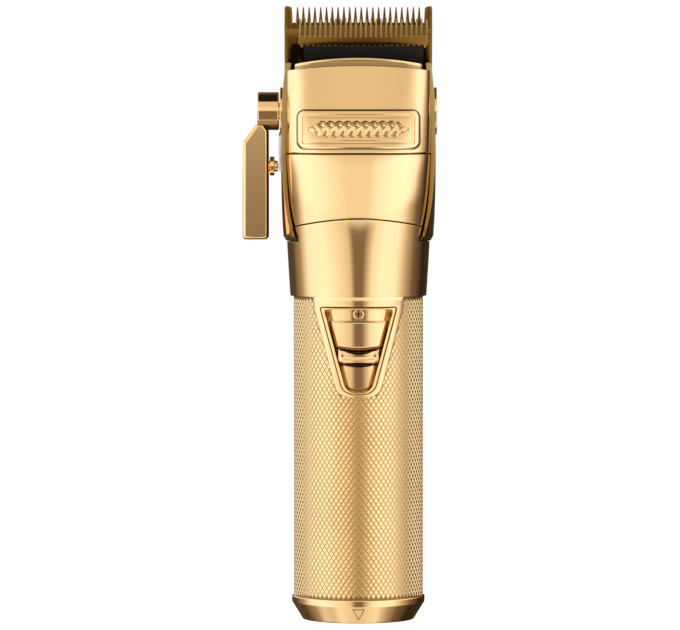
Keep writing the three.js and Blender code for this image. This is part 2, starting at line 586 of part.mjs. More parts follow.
// The carriage that the taper crank moves, with the fixed blade screwed to its two pads.
const carriageFace = -slideGap;
const carriageHalf = 16.2;
const earOuter = -carriageHalf;
function bladeCarriage() {
  const back = carriageFace;
  const pads = [-1, 1].map((side) => {
    const [x0, x1] = side < 0 ? [-carriageHalf, -11.4] : [11.4, carriageHalf];
    return box(x0, x1, -3, back, -33, -18.6);
  });
  const bar = box(-carriageHalf, carriageHalf, -2, back, -34.6, -31.6);
  const reach = crank.pinRadius + 0.3;
  const ear = box(earOuter, earOuter + 3, crankPin.n - reach - 1.4, -1, -33, crankPin.s + 2.8);
  const slot = box(earOuter - 1, earOuter + 4, crankPin.n - reach, crankPin.n + reach, crankPin.s - reach, crankPin.s + reach);
  const holes = bladeScrewSpots.map((x) => rodY(screw.shankRadius + fitGap, -10, 5, x, bladeScrewS, 16));
  return cut(join(...pads, bar, ear), slot, ...holes);
}

const halfSwing = THREE.MathUtils.degToRad(crank.swing / 2);
const crankPin = {
  n: axisInBlade.n - crank.radius * Math.cos(halfSwing),
  s: axisInBlade.s + crank.radius * Math.sin(halfSwing),
};

const taperTravel = 2 * crank.radius * Math.sin(halfSwing);

// The shaft from the lever's hub to the crank arm and its pin inside the head.
function taperShaft() {
  const armStart = earOuter - slideGap - crank.armThickness;
  const shape = new THREE.Shape();
  const lean = Math.PI - halfSwing;
  shape.absarc(axisInBlade.n, axisInBlade.s, boss.shaftRadius + 0.4, lean + Math.PI / 2, lean - Math.PI / 2, false);
  shape.absarc(crankPin.n, crankPin.s, crank.armRadius, lean - Math.PI / 2, lean + Math.PI / 2, false);
  const arm = pushedX(shape, armStart, armStart + crank.armThickness);
  const shaft = rodX(boss.shaftRadius, hubOuter + 1.5, armStart + 0.5, axisInBlade.n, axisInBlade.s, 24);
  return join(shaft, arm, rodX(crank.pinRadius, armStart + 0.5, earOuter + 2.6, crankPin.n, crankPin.s, 16));
}

function cutterBlade() {
  const half = cutter.width / 2;
  const outline = toothedOutline({
    half, length: cutter.length, count: cutter.count, pitch: cutter.pitch, depth: cutter.toothLength,
    tipWidth: 0.5, rootWidth: 0.85, cornerWidth: 0,
  });
  const plate = pushedY(outline, -cutter.thickness - slideGap, -slideGap);
  const noseBevel = pushedX(
    polygon([[-slideGap - 0.5, 1], [-4, 1], [-4, -cutter.toothLength], [-cutter.thickness - slideGap, -cutter.toothLength]]),
    -40, 40,
  );
  const slots = followerTabs.map((x) =>
    box(x - 2.5, x + 2.5, -slideGap - 1.55, -slideGap - 0.35, -cutter.length - 1, -cutter.length + 2.3));
  return moveS(cut(plate, noseBevel, ...slots), -cutter.tip);
}

const followerTabs = [-9, 9];
const moveS = (made, s) => made.translate([0, 0, s]);
const cutterFoot = -cutter.tip - cutter.length;

// The black plastic driver: a plate behind the mouth, and a forked yoke round the motor's drive pin.
const yokeHalf = drivePin.radius + 2 * throwMm + 0.15;
function camFollower() {
  const top = cutterFoot - 0.35;
  const plate = join(
    box(-17.6, 17.6, -2.2, -slideGap, -18, top),
    box(-17.6, 17.6, -2.2, channel.depth - slideGap, -18, -channel.start - taperTravel - slideGap),
  );
  const neck = box(-8.6, 8.6, -2.2, -0.9, -25, -17.9);
  const tabs = followerTabs.map((x) => box(x - 2.2, x + 2.2, -slideGap - 1.35, -slideGap - 0.6, top - 1, cutterFoot + 2));
  const yoke = box(-7.4, 7.4, -10.4, -0.9, -28.4, -23.6);
  const slot = box(-yokeHalf, yokeHalf, -9, -2, -35, -23);
  return cut(join(plate, neck, yoke, ...tabs), slot);
}

// ---------- the drive ----------
const motorTop = leverZ - 11.4;
const shaftTop = motorTop + motor.bossHeight + eccentric.clearAbove + eccentric.height;

const motorCan = () =>
  cut(
    join(
      pillar(motor.radius, motorTop - motor.length, motorTop, 0, motor.y, 40),
      pillar(motor.bossRadius, motorTop - 0.5, motorTop + motor.bossHeight, 0, motor.y, 28),
    ),
    pillar(motor.radius - motor.wall, motorTop - motor.length - 1, motorTop - 1.2, 0, motor.y, 40),
    pillar(motor.shaftRadius + boreGap, motorTop - 5, motorTop + 10, 0, motor.y, 16),
  );

function motorEndbell() {
  const bottom = motorTop - motor.length;
  const plug = pillar(motor.radius - motor.wall - fitGap, bottom - 1.5, bottom + 3, 0, motor.y, 40);
  return cut(plug, pillar(motor.shaftRadius + boreGap, bottom + 0.6, bottom + 10, 0, motor.y, 16));
}

const motorArmature = () =>
  cut(
    pillar(motor.radius - motor.wall - 2.4, motorTop - motor.length + 6, motorTop - 3, 0, motor.y, 28),
    pillar(motor.shaftRadius + 0.2, motorTop - motor.length, motorTop, 0, motor.y, 16),
  );

const motorShaft = () =>
  pillar(motor.shaftRadius, motorTop - motor.length + 0.9, shaftTop - 1, 0, motor.y, 16);

function eccentricHub() {
  const base = motorTop + motor.bossHeight + eccentric.clearAbove;
  const disc = pillar(eccentric.radius, base, shaftTop, 0, motor.y, 32);
  const bore = pillar(motor.shaftRadius + 0.2, base - 1, shaftTop - 0.8, 0, motor.y, 16);
  return join(cut(disc, bore), pillar(drivePin.radius, shaftTop - 0.5, shaftTop + drivePin.length, throwMm, motor.y, 16));
}

// The plastic plate that carries the motor, with a rail each side for the blade carriage.
function motorBracket() {
  const inside = rearForm(head.rearWall + fitGap);
  const top = motorTop + 0.3;
  const deck = cut(
    common(headForm(20, head.seamHeight + 4, even(-head.wall - 0.5)), inside, box(-40, 40, -11, 40, headZ(20), headZ(60))),
    box(-40, 40, -40, 40, headZ(0), top - 2.6),
    box(-40, 40, -40, 40, top, headZ(90)),
  );
  const cup = pipe(motor.radius + 1.6, motor.radius + fitGap, top - 14, top - 2, 0, motor.y, 40);
  return cut(join(deck, cup), pillar(motor.radius + fitGap, 0, top + 1, 0, motor.y, 40));
}

function rearScrew([x, at]) {
  const faceY = screwFaceAt([x, at]);
  const head = rodY(screw.headRadius, faceY - 0.6, faceY, x, headZ(at), 20);
  const shank = rodY(screw.shankRadius, faceY - screw.length, faceY - 0.5, x, headZ(at), 12);
  return cut(join(head, shank), crossRecess(x, faceY, headZ(at), 1));
}

// ---------- inside the handle ----------
const frameOuter = sleeveInner - 0.5;
const frameInner = frameOuter - frame.wall;
const frameBottom = cap.rimHeight + 2.4;
const frameTop = headZ(-2);
const cellBottom = frameBottom + frame.floor + 2.6;
const boardBack = battery.y - battery.radius - 1.2;

// A half tube that holds the cell against the handle's rear, closed at its foot.
function cellCradle() {
  const half = cut(
    pipe(frameOuter, frameInner, frameBottom, frameTop, 0, 0, 48),
    box(-40, 40, -40, boardBack + 1.5, 0, 300),
  );
  const floor = common(pillar(frameOuter, frameBottom, frameBottom + frame.floor, 0, 0, 48), box(-40, 40, boardBack + 1.5, 40, 0, 300));
  const opening = box(-5, 5, 2, 40, frameBottom + 20, frameBottom + 60);
  const portSlot = box(-port.width / 2 - 2, port.width / 2 + 2, port.offset - 5, port.offset + 5, 0, frameBottom + frame.floor + 1);
  return cut(join(half, floor), opening, portSlot);
}

const batteryCell = () => pillar(battery.radius, cellBottom, cellBottom + battery.length, 0, battery.y, 40);
const cellTerminal = (z) =>
  cut(box(-5, 5, battery.y - 4, battery.y + 4, z, z + 0.5), box(-1.2, 1.2, battery.y - 5, battery.y + 0.5, z - 1, z + 1));

const boardFoot = frameBottom + 1;
function circuitBoard() {
  const half = Math.min(board.width / 2, Math.sqrt(frameInner ** 2 - (boardBack - board.thickness) ** 2) - 0.5);
  return box(-half, half, boardBack - board.thickness, boardBack, boardFoot, boardFoot + board.length);
}

const switchMiddle = headZ(-15.3);
function switchBody() {
  const front = boardBack - board.thickness - fitGap;
  const stemEnd = -(sleeveInner - 3.4);
  const depth = Math.max(1.6, front - stemEnd - 0.6);
  return box(-4.5, 4.5, front - depth + 0.3, front, switchMiddle - 6.5, switchMiddle + 6.5);
}

const lead = (x, y, finishName, name) => {
  const points = [
    new THREE.Vector3(x, y, boardFoot + board.length + 0.5), new THREE.Vector3(x, y + 0.4, headZ(-6)),
    new THREE.Vector3(x * 0.8, motor.y - 3, motorTop - motor.length - 4),
    new THREE.Vector3(x * 0.8, motor.y - 3, motorTop - motor.length - 1.9),
  ];
  const ring = new THREE.Shape().absarc(0, 0, 0.65, 0, 2 * Math.PI, false);
  const geometry = new THREE.ExtrudeGeometry(ring, {
    steps: 14, extrudePath: new THREE.CatmullRomCurve3(points), curveSegments: 4, bevelEnabled: false,
  });
  return node(name, solid(geometry), finishName);
};

// ---------- assembly ----------
const clipper = new THREE.Group();
const bladeFrame = new THREE.Group();
bladeFrame.position.set(0, blade.tipForward, tipZ);
bladeFrame.rotation.x = tilt;
clipper.add(bladeFrame);

clipper.add(
  node("end_cap", endCap(), "polishedGold"),
  node("charge_port", chargePort(), "blackPlastic"),
  node("charge_contact_left", chargeContact(-1), "brass"),
  node("charge_contact_right", chargeContact(1), "brass"),
  node("handle_sleeve", handleSleeve(), "polishedGold"),
  node("neck_shell", neckShell(), "polishedGold"),
  node("switch_bezel", switchBezel(), "polishedGold"),
  node("switch_slider", switchSlider(), "polishedGold"),
  node("mid_panel", midPanel(), "polishedGold"),
  node("face_cover", faceCover(), "polishedGold"),
  node("face_badge", nameBadge(), "polishedGold"),
  node("mouth_rim", mouthRim(), "polishedGold"),
  node("rear_housing", rearHousing(), "polishedGold"),
  node("lever_boss", leverBoss(), "polishedGold"),
  node("side_cap", sideCap(), "polishedGold"),
  node("detent_plate", detentPlate(), "steel"),
  node("taper_lever", taperLever(), "polishedGold"),
  node("lever_screw", leverScrew(), "steel"),
  node("plunger_collar", plungerCollar(), "bladeGold"),
  node("plunger_pin", plungerPin(), "steel"),
  node("motor_can", motorCan(), "steel"),
  node("motor_endbell", motorEndbell(), "blackPlastic"),
  node("motor_armature", motorArmature(), "brass"),
  node("motor_shaft", motorShaft(), "steel"),
  node("eccentric_hub", eccentricHub(), "brass"),
  node("motor_bracket", motorBracket(), "blackPlastic"),
  node("cell_cradle", cellCradle(), "blackPlastic"),
  node("battery_cell", batteryCell(), "batteryWrap"),
  node("cell_terminal_low", cellTerminal(cellBottom - 0.9), "steel"),
  node("cell_terminal_high", cellTerminal(cellBottom + battery.length + 0.4), "steel"),
  node("circuit_board", circuitBoard(), "circuit"),
  node("switch_body", switchBody(), "blackPlastic"),
  lead(-4, boardBack - 0.8, "redLead", "motor_lead_red"),
  lead(4, boardBack - 0.8, "blackPlastic", "motor_lead_black"),
  ...rearScrewSpots.map((spot, i) => node(`rear_screw_${i + 1}`, rearScrew(spot), "steel")),
);

bladeFrame.add(
  node("fixed_blade", fixedBlade(), "bladeGold"),
  node("blade_carriage", bladeCarriage(), "steel"),
  node("taper_shaft", taperShaft(), "steel"),
  ...bladeScrewSpots.map((x, i) => node(`blade_screw_${i + 1}`, bladeScrew(x), "steel")),
);

// The cutter and its follower rest at the right-hand end of their stroke.
const cutterSet = new THREE.Group();
cutterSet.position.x = throwMm;
cutterSet.add(node("cutter_blade", cutterBlade(), "bladeGold"), node("cam_follower", camFollower(), "blackPlastic"));
bladeFrame.add(cutterSet);

export default clipper;
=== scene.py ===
import json
import math
import bpy
from mathutils import Matrix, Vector
import bmesh
import numpy as np


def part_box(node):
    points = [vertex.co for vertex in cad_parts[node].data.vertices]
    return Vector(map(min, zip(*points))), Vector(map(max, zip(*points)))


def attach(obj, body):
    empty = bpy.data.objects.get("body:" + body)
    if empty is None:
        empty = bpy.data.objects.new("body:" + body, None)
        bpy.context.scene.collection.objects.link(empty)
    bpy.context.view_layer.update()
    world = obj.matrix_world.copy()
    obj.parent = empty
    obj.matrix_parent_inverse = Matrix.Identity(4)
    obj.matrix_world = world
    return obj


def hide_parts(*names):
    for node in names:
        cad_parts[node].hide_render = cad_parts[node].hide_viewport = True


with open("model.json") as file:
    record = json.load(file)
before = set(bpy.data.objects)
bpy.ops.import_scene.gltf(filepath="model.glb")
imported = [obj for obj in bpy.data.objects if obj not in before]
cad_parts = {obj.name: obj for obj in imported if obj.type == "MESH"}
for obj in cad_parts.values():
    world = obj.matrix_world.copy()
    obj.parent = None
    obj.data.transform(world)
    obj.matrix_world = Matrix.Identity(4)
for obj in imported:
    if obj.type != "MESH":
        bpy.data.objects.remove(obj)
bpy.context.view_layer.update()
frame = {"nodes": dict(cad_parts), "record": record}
nodes = frame["nodes"]
mm = 0.001
neckZ = 95.2  # millimetres, like every size below but those of the stage
print("frame loaded")

# Helpers for shaders


def setSockets(tree, node, values):
    # links an output to each input, or sets a constant on it
    for socket, value in values.items():
        if isinstance(value, bpy.types.NodeSocket):
            tree.links.new(value, node.inputs[socket])
        else:
            node.inputs[socket].default_value = value
    return node


def addNode(tree, kind, values=None, **settings):
    node = tree.nodes.new(kind)
    for name, value in settings.items():
        setattr(node, name, value)
    return setSockets(tree, node, values or {})


def doMath(tree, operation, *values):
    return addNode(tree, "ShaderNodeMath", dict(enumerate(values)), operation=operation).outputs[0]


def newGroup(name, inputs, outputs):
    group = bpy.data.node_groups.new(name, "ShaderNodeTree")
    for label, value in inputs.items():
        socket = group.interface.new_socket(name=label, in_out="INPUT", socket_type="NodeSocketFloat")
        socket.default_value = value
    for label in outputs:
        group.interface.new_socket(name=label, in_out="OUTPUT", socket_type="NodeSocketFloat")
    return group, group.nodes.new("NodeGroupInput"), group.nodes.new("NodeGroupOutput")


wearLabels = ("Grain Scale", "Scratch Scale", "Smudge Scale", "Base Roughness", "Spread")


def makeWearGroup():
    # fine grain, long hairline scratches and soft handling marks
    group, inlet, outlet = newGroup(
        "surfaceWear",
        dict(zip(wearLabels, (900.0, 60.0, 35.0, 0.1, 0.08))), ["Roughness", "Height", "Smudge"],
    )
    get = inlet.outputs
    spot = addNode(group, "ShaderNodeTexCoord").outputs["Object"]
    stretch = addNode(
        group, "ShaderNodeMapping", {"Vector": spot, "Scale": (14.0, 9.0, 1.0), "Rotation": (0.1, 0.35, 0.2)},
    )

    def noise(vector, scale, detail):
        values = {"Vector": vector, "Scale": get[scale], "Detail": detail}
        return addNode(group, "ShaderNodeTexNoise", values).outputs["Fac"]

    grain = noise(spot, "Grain Scale", 2.0)
    scratch = noise(stretch.outputs["Vector"], "Scratch Scale", 4.0)
    smudge = noise(spot, "Smudge Scale", 3.0)
    narrow = {"Value": scratch, "From Min": 0.62, "From Max": 0.72}
    thin = addNode(group, "ShaderNodeMapRange", narrow).outputs["Result"]
    uneven = doMath(group, "MULTIPLY_ADD", thin, 0.35, smudge)
    setSockets(group, outlet, {
        "Roughness": doMath(group, "MULTIPLY_ADD", uneven, get["Spread"], get["Base Roughness"]),
        "Height": doMath(group, "MULTIPLY_ADD", thin, -0.6, grain),
        "Smudge": smudge,
    })
    return group


wearGroup = makeWearGroup()


def makeFinish(name, color, aged, metallic, bump, wearValues, coat=0.0, shine=0.5):
    material = bpy.data.materials.new(name)
    material.use_nodes = True
    tree = material.node_tree
    wear = addNode(tree, "ShaderNodeGroup", dict(zip(wearLabels, wearValues)), node_tree=wearGroup)
    colors = {6: (*color, 1.0), 7: (*aged, 1.0)}  # the colour sockets A and B
    tint = addNode(tree, "ShaderNodeMix", {"Factor": wear.outputs["Smudge"], **colors}, data_type="RGBA")
    relief = {"Strength": bump, "Distance": 0.00002, "Height": wear.outputs["Height"]}
    setSockets(tree, tree.nodes["Principled BSDF"], {
        "Base Color": tint.outputs[2], "Roughness": wear.outputs["Roughness"],
        "Normal": addNode(tree, "ShaderNodeBump", relief).outputs["Normal"],
        "Metallic": metallic, "Coat Weight": coat, "Specular IOR Level": shine,
    })
    return material


# colour, colour where handled, metallic, bump, wear (as wearLabels), then coat and shine if not usual
looks = {
    "polished_gold": ((0.98, 0.655, 0.31), (0.93, 0.6, 0.265), 1.0, 0.04, (1400.0, 70.0, 30.0, 0.045, 0.07)),
    "knurled_gold": ((0.97, 0.705, 0.365), (0.88, 0.62, 0.29), 1.0, 0.25, (2200.0, 90.0, 60.0, 0.16, 0.12)),
    # a darker gold, painted on the sleeve's core as shade in the grooves between the diamonds
    "knurl_groove": ((0.34, 0.22, 0.085), (0.24, 0.15, 0.05), 1.0, 0.3, (1800.0, 90.0, 60.0, 0.3, 0.12)),
    # a darker gold, painted as shade on edges, inner walls and undersides
    "shaded_gold": ((0.46, 0.3, 0.12), (0.36, 0.23, 0.08), 1.0, 0.1, (1500.0, 70.0, 30.0, 0.16, 0.1)),
    # near black, painted as shadow and dark reflection on the slider's thumb rib and the lever's chamfer
    "thumb_shadow": ((0.035, 0.02, 0.006), (0.05, 0.03, 0.01), 1.0, 0.1, (1500.0, 70.0, 30.0, 0.12, 0.1)),
    "blade_gold": ((0.3, 0.15, 0.03), (0.22, 0.1, 0.018), 1.0, 0.35, (1800.0, 160.0, 80.0, 0.2, 0.16)),
    "cutter_gold": ((0.47, 0.31, 0.11), (0.36, 0.23, 0.07), 1.0, 0.4, (2000.0, 200.0, 90.0, 0.26, 0.16)),
    "seam_shadow": ((0.1, 0.06, 0.02), (0.06, 0.035, 0.01), 0.6, 0.2, (1500.0, 80.0, 60.0, 0.4, 0.2)),
    "steel": ((0.72, 0.73, 0.75), (0.62, 0.63, 0.65), 1.0, 0.2, (1600.0, 150.0, 70.0, 0.16, 0.14)),
    "brass": ((0.78, 0.55, 0.22), (0.62, 0.42, 0.16), 1.0, 0.2, (1500.0, 120.0, 60.0, 0.22, 0.15)),
    "black_plastic": (
        (0.008, 0.006, 0.004), (0.014, 0.01, 0.007), 0.0, 0.5, (1200.0, 60.0, 50.0, 0.38, 0.2), 0.0, 0.22,
    ),
    "battery_wrap": ((0.03, 0.12, 0.38), (0.02, 0.09, 0.3), 0.0, 0.3, (900.0, 60.0, 40.0, 0.3, 0.15), 0.3),
    "circuit_green": (
        (0.01, 0.12, 0.04), (0.015, 0.09, 0.03), 0.0, 0.4, (1000.0, 90.0, 50.0, 0.3, 0.15), 0.2,
    ),
    "red_wire": ((0.4, 0.012, 0.012), (0.3, 0.01, 0.01), 0.0, 0.3, (1000.0, 60.0, 50.0, 0.4, 0.15)),
}
finishes = {name: makeFinish(name, *look) for name, look in looks.items()}
for part in frame["record"]["subparts"]:
    mesh = nodes[part["node"]].data
    mesh.materials.clear()
    mesh.materials.append(finishes[part["material_slot"]])
print("finishes made")

# Helpers for meshes


def makePiece(name, points, faces, finish, smoothAngle=32.0):
    mesh = bpy.data.meshes.new(name)
    mesh.from_pydata([tuple(p) for p in np.asarray(points, dtype=float) * mm], [], [tuple(f) for f in faces])
    work = bmesh.new()
    work.from_mesh(mesh)
    bmesh.ops.remove_doubles(work, verts=work.verts, dist=0.000002)
    bmesh.ops.recalc_face_normals(work, faces=work.faces)
    work.to_mesh(mesh)
    work.free()
    piece = bpy.data.objects.new(name, mesh)
    bpy.context.scene.collection.objects.link(piece)
    mesh.materials.append(finishes[finish])
    smoothEdges(piece, smoothAngle)
    return piece


def smoothEdges(piece, angle):
    # smooth shading, with edges sharper than the angle left crisp
    piece.data.shade_smooth()
    piece.data.set_sharp_from_angle(angle=math.radians(angle))


def bakeModifiers(piece, smoothAngle=32.0):
    # the piece keeps the mesh its modifiers make
    bpy.context.view_layer.update()
    graph = bpy.context.evaluated_depsgraph_get()
    final = piece.evaluated_get(graph)
    mesh = bpy.data.meshes.new_from_object(final, preserve_all_data_layers=True, depsgraph=graph)
    piece.modifiers.clear()
    old, piece.data = piece.data, mesh
    name = old.name
    bpy.data.meshes.remove(old)
    mesh.name = name
    smoothEdges(piece, smoothAngle)
    return piece


def bevelled(piece, width, segments=2, angle=50.0, smoothAngle=32.0):
    modifier = piece.modifiers.new("edges", "BEVEL")
    modifier.width = width * mm
    modifier.segments = segments
    modifier.limit_method = "ANGLE"
    modifier.angle_limit = math.radians(angle)
    modifier.use_clamp_overlap = True
    return bakeModifiers(piece, smoothAngle)


def cutBy(piece, cutters):
    for cutter in cutters:
        modifier = piece.modifiers.new("cut", "BOOLEAN")
        modifier.operation = "DIFFERENCE"
        modifier.solver = "EXACT"
        modifier.object = cutter
    bakeModifiers(piece)
    for cutter in cutters:
        bpy.data.objects.remove(cutter)
    return piece


def joined(first, *others):
    # one mesh from several, each face with its own finish
    work = bmesh.new()
    for piece in (first, *others):
        offset = {}
        for i, material in enumerate(piece.data.materials):
            if material.name not in first.data.materials:
                first.data.materials.append(material)
            offset[i] = list(first.data.materials).index(material)
        before = len(work.faces)
        work.from_mesh(piece.data)
        work.faces.ensure_lookup_table()
        for face in work.faces[before:]:
            face.material_index = offset.get(face.material_index, 0)
    work.to_mesh(first.data)
    work.free()
    for piece in others:
        bpy.data.objects.remove(piece)
    return first


def paintWhere(piece, finish, test):
    # a second finish on the faces whose centres pass a test, given in millimetres
    count = len(piece.data.polygons)
    centres = np.zeros(count * 3)
    piece.data.polygons.foreach_get("center", centres)
    chosen = test(centres.reshape(-1, 3) / mm)
    index = np.zeros(count, dtype=np.int32)
    piece.data.polygons.foreach_get("material_index", index)
    piece.data.materials.append(finishes[finish])
    index[chosen] = len(piece.data.materials) - 1
    piece.data.polygons.foreach_set("material_index", index)
    piece.data.update()
    return piece


def sheetFaces(rows, cols, wrap, start=0):
    faces = []
    for r in range(rows - 1):
        low, high = start + r * cols, start + (r + 1) * cols
        for c in range(cols if wrap else cols - 1):
            d = (c + 1) % cols
            faces.append((low + c, low + d, high + d, high + c))
    return faces


def ringFaces(rings, count, closed=True):
    # quads between loops of the same count, and from the last loop to the first if closed
    faces = []
    for k in range(rings if closed else rings - 1):
        low, high = k * count, (k + 1) % rings * count
        for i in range(count):
            j = (i + 1) % count
            faces.append((low + i, low + j, high + j, high + i))
    return faces


def slab(outer, inner, wrap=False):
    # a closed solid between two grids of points that match
    rows, cols = outer.shape[:2]
    count = rows * cols
    faces = sheetFaces(rows, cols, wrap) + [f[::-1] for f in sheetFaces(rows, cols, wrap, count)]
    for r in (0, rows - 1):
        for c in range(cols if wrap else cols - 1):
            a, b = r * cols + c, r * cols + (c + 1) % cols
            faces.append((a, b, b + count, a + count))
    if not wrap:
        for c in (0, cols - 1):
            for r in range(rows - 1):
                a, b = r * cols + c, (r + 1) * cols + c
                faces.append((a, b, b + count, a + count))
    return np.concatenate([outer.reshape(-1, 3), inner.reshape(-1, 3)]), faces


def prismFaces(count):
    # sides and two ends between a loop and its copy
    faces = [(i, (i + 1) % count, (i + 1) % count + count, i + count) for i in range(count)]
    return faces + [tuple(range(count)), tuple(range(2 * count - 1, count - 1, -1))]


boxFaces = [(0, 1, 3, 2), (4, 6, 7, 5), (0, 4, 5, 1), (2, 3, 7, 6), (0, 2, 6, 4), (1, 5, 7, 3)]


def boxPiece(name, low, high, finish):
    (x0, y0, z0), (x1, y1, z1) = low, high
    points = [(x, y, z) for x in (x0, x1) for y in (y0, y1) for z in (z0, z1)]
    return makePiece(name, points, boxFaces, finish)


def heldProfile(profile, margin=0.18):
    # extra rings near the ends of long stretches keep their shading flat
    result = [profile[0]]
    for start, end in zip(profile, profile[1:]):
        a, b = np.array(start, dtype=float), np.array(end, dtype=float)
        span = np.linalg.norm(b - a)
        if span > 0.8:
            if start[0] > 1e-6:
                result.append(tuple(a + (b - a) * margin / span))
            if end[0] > 1e-6:
                result.append(tuple(b + (a - b) * margin / span))
        result.append(end)
    return result


def holdFaces(piece, smallest, margin=0.15):
    # a narrow border on each large face keeps its shading flat
    work = bmesh.new()
    work.from_mesh(piece.data)
    large = [face for face in work.faces if face.calc_area() > smallest * mm * mm]
    bmesh.ops.inset_individual(work, faces=large, thickness=margin * mm)
    work.to_mesh(piece.data)
    work.free()
    smoothEdges(piece, 32.0)
    return piece


def spun(name, profile, finish, segments=96, axis="Z", centre=(0, 0, 0), smoothAngle=32.0):
    # a closed profile of (radius, height) that starts and ends on the axis
    profile = heldProfile(profile)
    angles = np.linspace(0, 2 * np.pi, segments, endpoint=False)
    points, rings = [], []
    for radius, height in profile:
        if radius < 1e-6:
            rings.append([len(points)])
            points.append((0, 0, height))
        else:
            rings.append(list(range(len(points), len(points) + segments)))
            points += [(radius * math.cos(a), radius * math.sin(a), height) for a in angles]
    faces = []
    for low, high in zip(rings, rings[1:]):
        for i in range(segments):
            j = (i + 1) % segments
            if len(low) == 1 and len(high) > 1:
                faces.append((low[0], high[j], high[i]))
            elif len(high) == 1 and len(low) > 1:
                faces.append((low[i], low[j], high[0]))
            elif len(low) > 1:
                faces.append((low[i], low[j], high[j], high[i]))
    points = np.array(points)
    if axis == "X":
        points = points[:, [2, 0, 1]]
    if axis == "Y":
        points = points[:, [1, 2, 0]]
    return makePiece(name, points + np.array(centre), faces, finish, smoothAngle)


def rounded(profile, radius, steps=4):
    # rounds every inner corner of a profile
    result = [profile[0]]
    for before, corner, after in zip(profile, profile[1:], profile[2:]):
        p, q, r = (np.array(v, dtype=float) for v in (before, corner, after))
        reach = min(radius, np.linalg.norm(p - q) / 2.1, np.linalg.norm(r - q) / 2.1)
        start = q + (p - q) / np.linalg.norm(p - q) * reach
        end = q + (r - q) / np.linalg.norm(r - q) * reach
        for t in np.linspace(0, 1, steps + 1):
            result.append(tuple((1 - t) ** 2 * start + 2 * t * (1 - t) * q + t * t * end))
    return result + [profile[-1]]

# The head's outer form: height above the neck, half width, front, rear, rim beside it, corner roundness
formRows = np.array([
    (0.0, 20.0, 20.0, 20.0, 1.0, 2.0),
    (8.0, 20.5, 20.5, 19.9, 1.0, 2.05),
    (16.2, 20.95, 20.9, 19.3, 1.0, 2.15),
    (24.0, 21.1, 20.8, 18.4, 1.3, 2.35),
    (33.0, 21.2, 19.9, 17.1, 1.45, 2.5),
    (41.8, 21.25, 18.3, 15.8, 1.45, 2.65),
    (50.0, 21.2, 15.4, 14.2, 1.4, 2.8),
    (58.0, 21.1, 12.1, 12.6, 1.25, 2.95),
    (68.3, 20.95, 8.5, 11.0, 0.5, 3.1),
])
# The split line between the front pieces and the rear housing: height above the neck, then depth
splitRows = np.array([(16.2, -12.6), (19.2, -11.6), (41.8, -4.1), (54.0, -1.0), (72.3, 1.5)])
neckTop, seamAt, faceTopAt, creaseAt = 16.2, 41.8, 67.4, 22.5  # heights above the neck
splitGap = 0.15


def smoothTable(at, column):
    # a smooth curve through one column of the form
    x, y = formRows[:, 0], formRows[:, column]
    slope = np.gradient(y, x)
    at = np.clip(at, x[0], x[-1])
    i = np.clip(np.searchsorted(x, at, side="right") - 1, 0, len(x) - 2)
    width = x[i + 1] - x[i]
    t = (at - x[i]) / width
    blendA, blendB = 2 * t**3 - 3 * t**2 + 1, t**3 - 2 * t**2 + t
    blendC, blendD = -2 * t**3 + 3 * t**2, t**3 - t**2
    return blendA * y[i] + blendB * width * slope[i] + blendC * y[i + 1] + blendD * width * slope[i + 1]


def formPoint(angle, at, side=0.0, front=0.0, rear=0.0, banded=0.0):
    # the point of the head's skin in one direction from the axis, at one height above the neck
    half = smoothTable(at, 1) + side + banded * smoothTable(at, 4)
    depth = np.where(np.sin(angle) < 0, smoothTable(at, 2) + front, smoothTable(at, 3) + rear)
    corner = smoothTable(at, 5)
    sideways, outwards = np.abs(np.cos(angle) / half), np.abs(np.sin(angle) / depth)
    reach = (sideways**corner + outwards**corner) ** (-1 / corner)
    return np.stack([reach * np.cos(angle), reach * np.sin(angle), neckZ + at + 0 * angle], axis=-1)


def crossing(at, grow, target, highest):
    # the direction, on the right, in which the skin comes back past a depth
    low, high = np.full_like(at, -np.pi / 2), np.full_like(at, highest)
    for _ in range(40):
        middle = (low + high) / 2
        past = formPoint(middle, at, **grow)[..., 1] > target
        high, low = np.where(past, middle, high), np.where(past, low, middle)
    return (low + high) / 2


def splitAngle(at, grow, shift=0.0):
    return crossing(at, grow, np.interp(at, splitRows[:, 0], splitRows[:, 1]) + shift, 0.6)


def ease(value, width):
    # rises smoothly from 0 to 1 over a width
    t = np.clip(value / width, 0, 1)
    return t * t * (3 - 2 * t)


def arch(middle, rise, halfSpan):
    # an arc's height at x, highest in the middle
    radius = (halfSpan**2 + rise**2) / (2 * rise)

    def height(x):
        return middle - radius + np.sqrt(np.maximum(radius**2 - np.minimum(np.abs(x), halfSpan) ** 2, 0))

    return height


def shrunk(grow, wall):
    return {**grow, **{key: grow.get(key, 0.0) - wall for key in ("side", "front", "rear")}}


def frontPanel(name, lowAt, highAt, wall, grow=None, cols=120, rows=60, bevel=0.22, sideLimit=None):
    # a shell of the skin between two height lines, out to the split line or to another limit
    grow = grow or {}
    u, v = np.meshgrid(np.linspace(-1, 1, cols), np.linspace(0, 1, rows))
    at = np.full_like(u, (lowAt(0.0) + highAt(0.0)) / 2)
    for _ in range(6):
        reach = sideLimit(at) if sideLimit else splitAngle(at, grow, -splitGap)
        angle = -np.pi / 2 + u * (reach + np.pi / 2)
        x = formPoint(angle, at, **grow)[..., 0]
        at = lowAt(x) + v * (highAt(x) - lowAt(x))
    outer, inner = formPoint(angle, at, **grow), formPoint(angle, at, **shrunk(grow, wall))
    points, faces = slab(outer, inner)
    return bevelled(makePiece(name, points, faces, "polished_gold"), bevel, 3)


def underSkin(centres, grow=None):
    # how far each point lies inside the head's skin
    angle, at = np.arctan2(centres[:, 1], centres[:, 0]), centres[:, 2] - neckZ
    skin = formPoint(angle, at, **(grow or {}))
    return np.hypot(skin[:, 0], skin[:, 1]) - np.hypot(centres[:, 0], centres[:, 1])


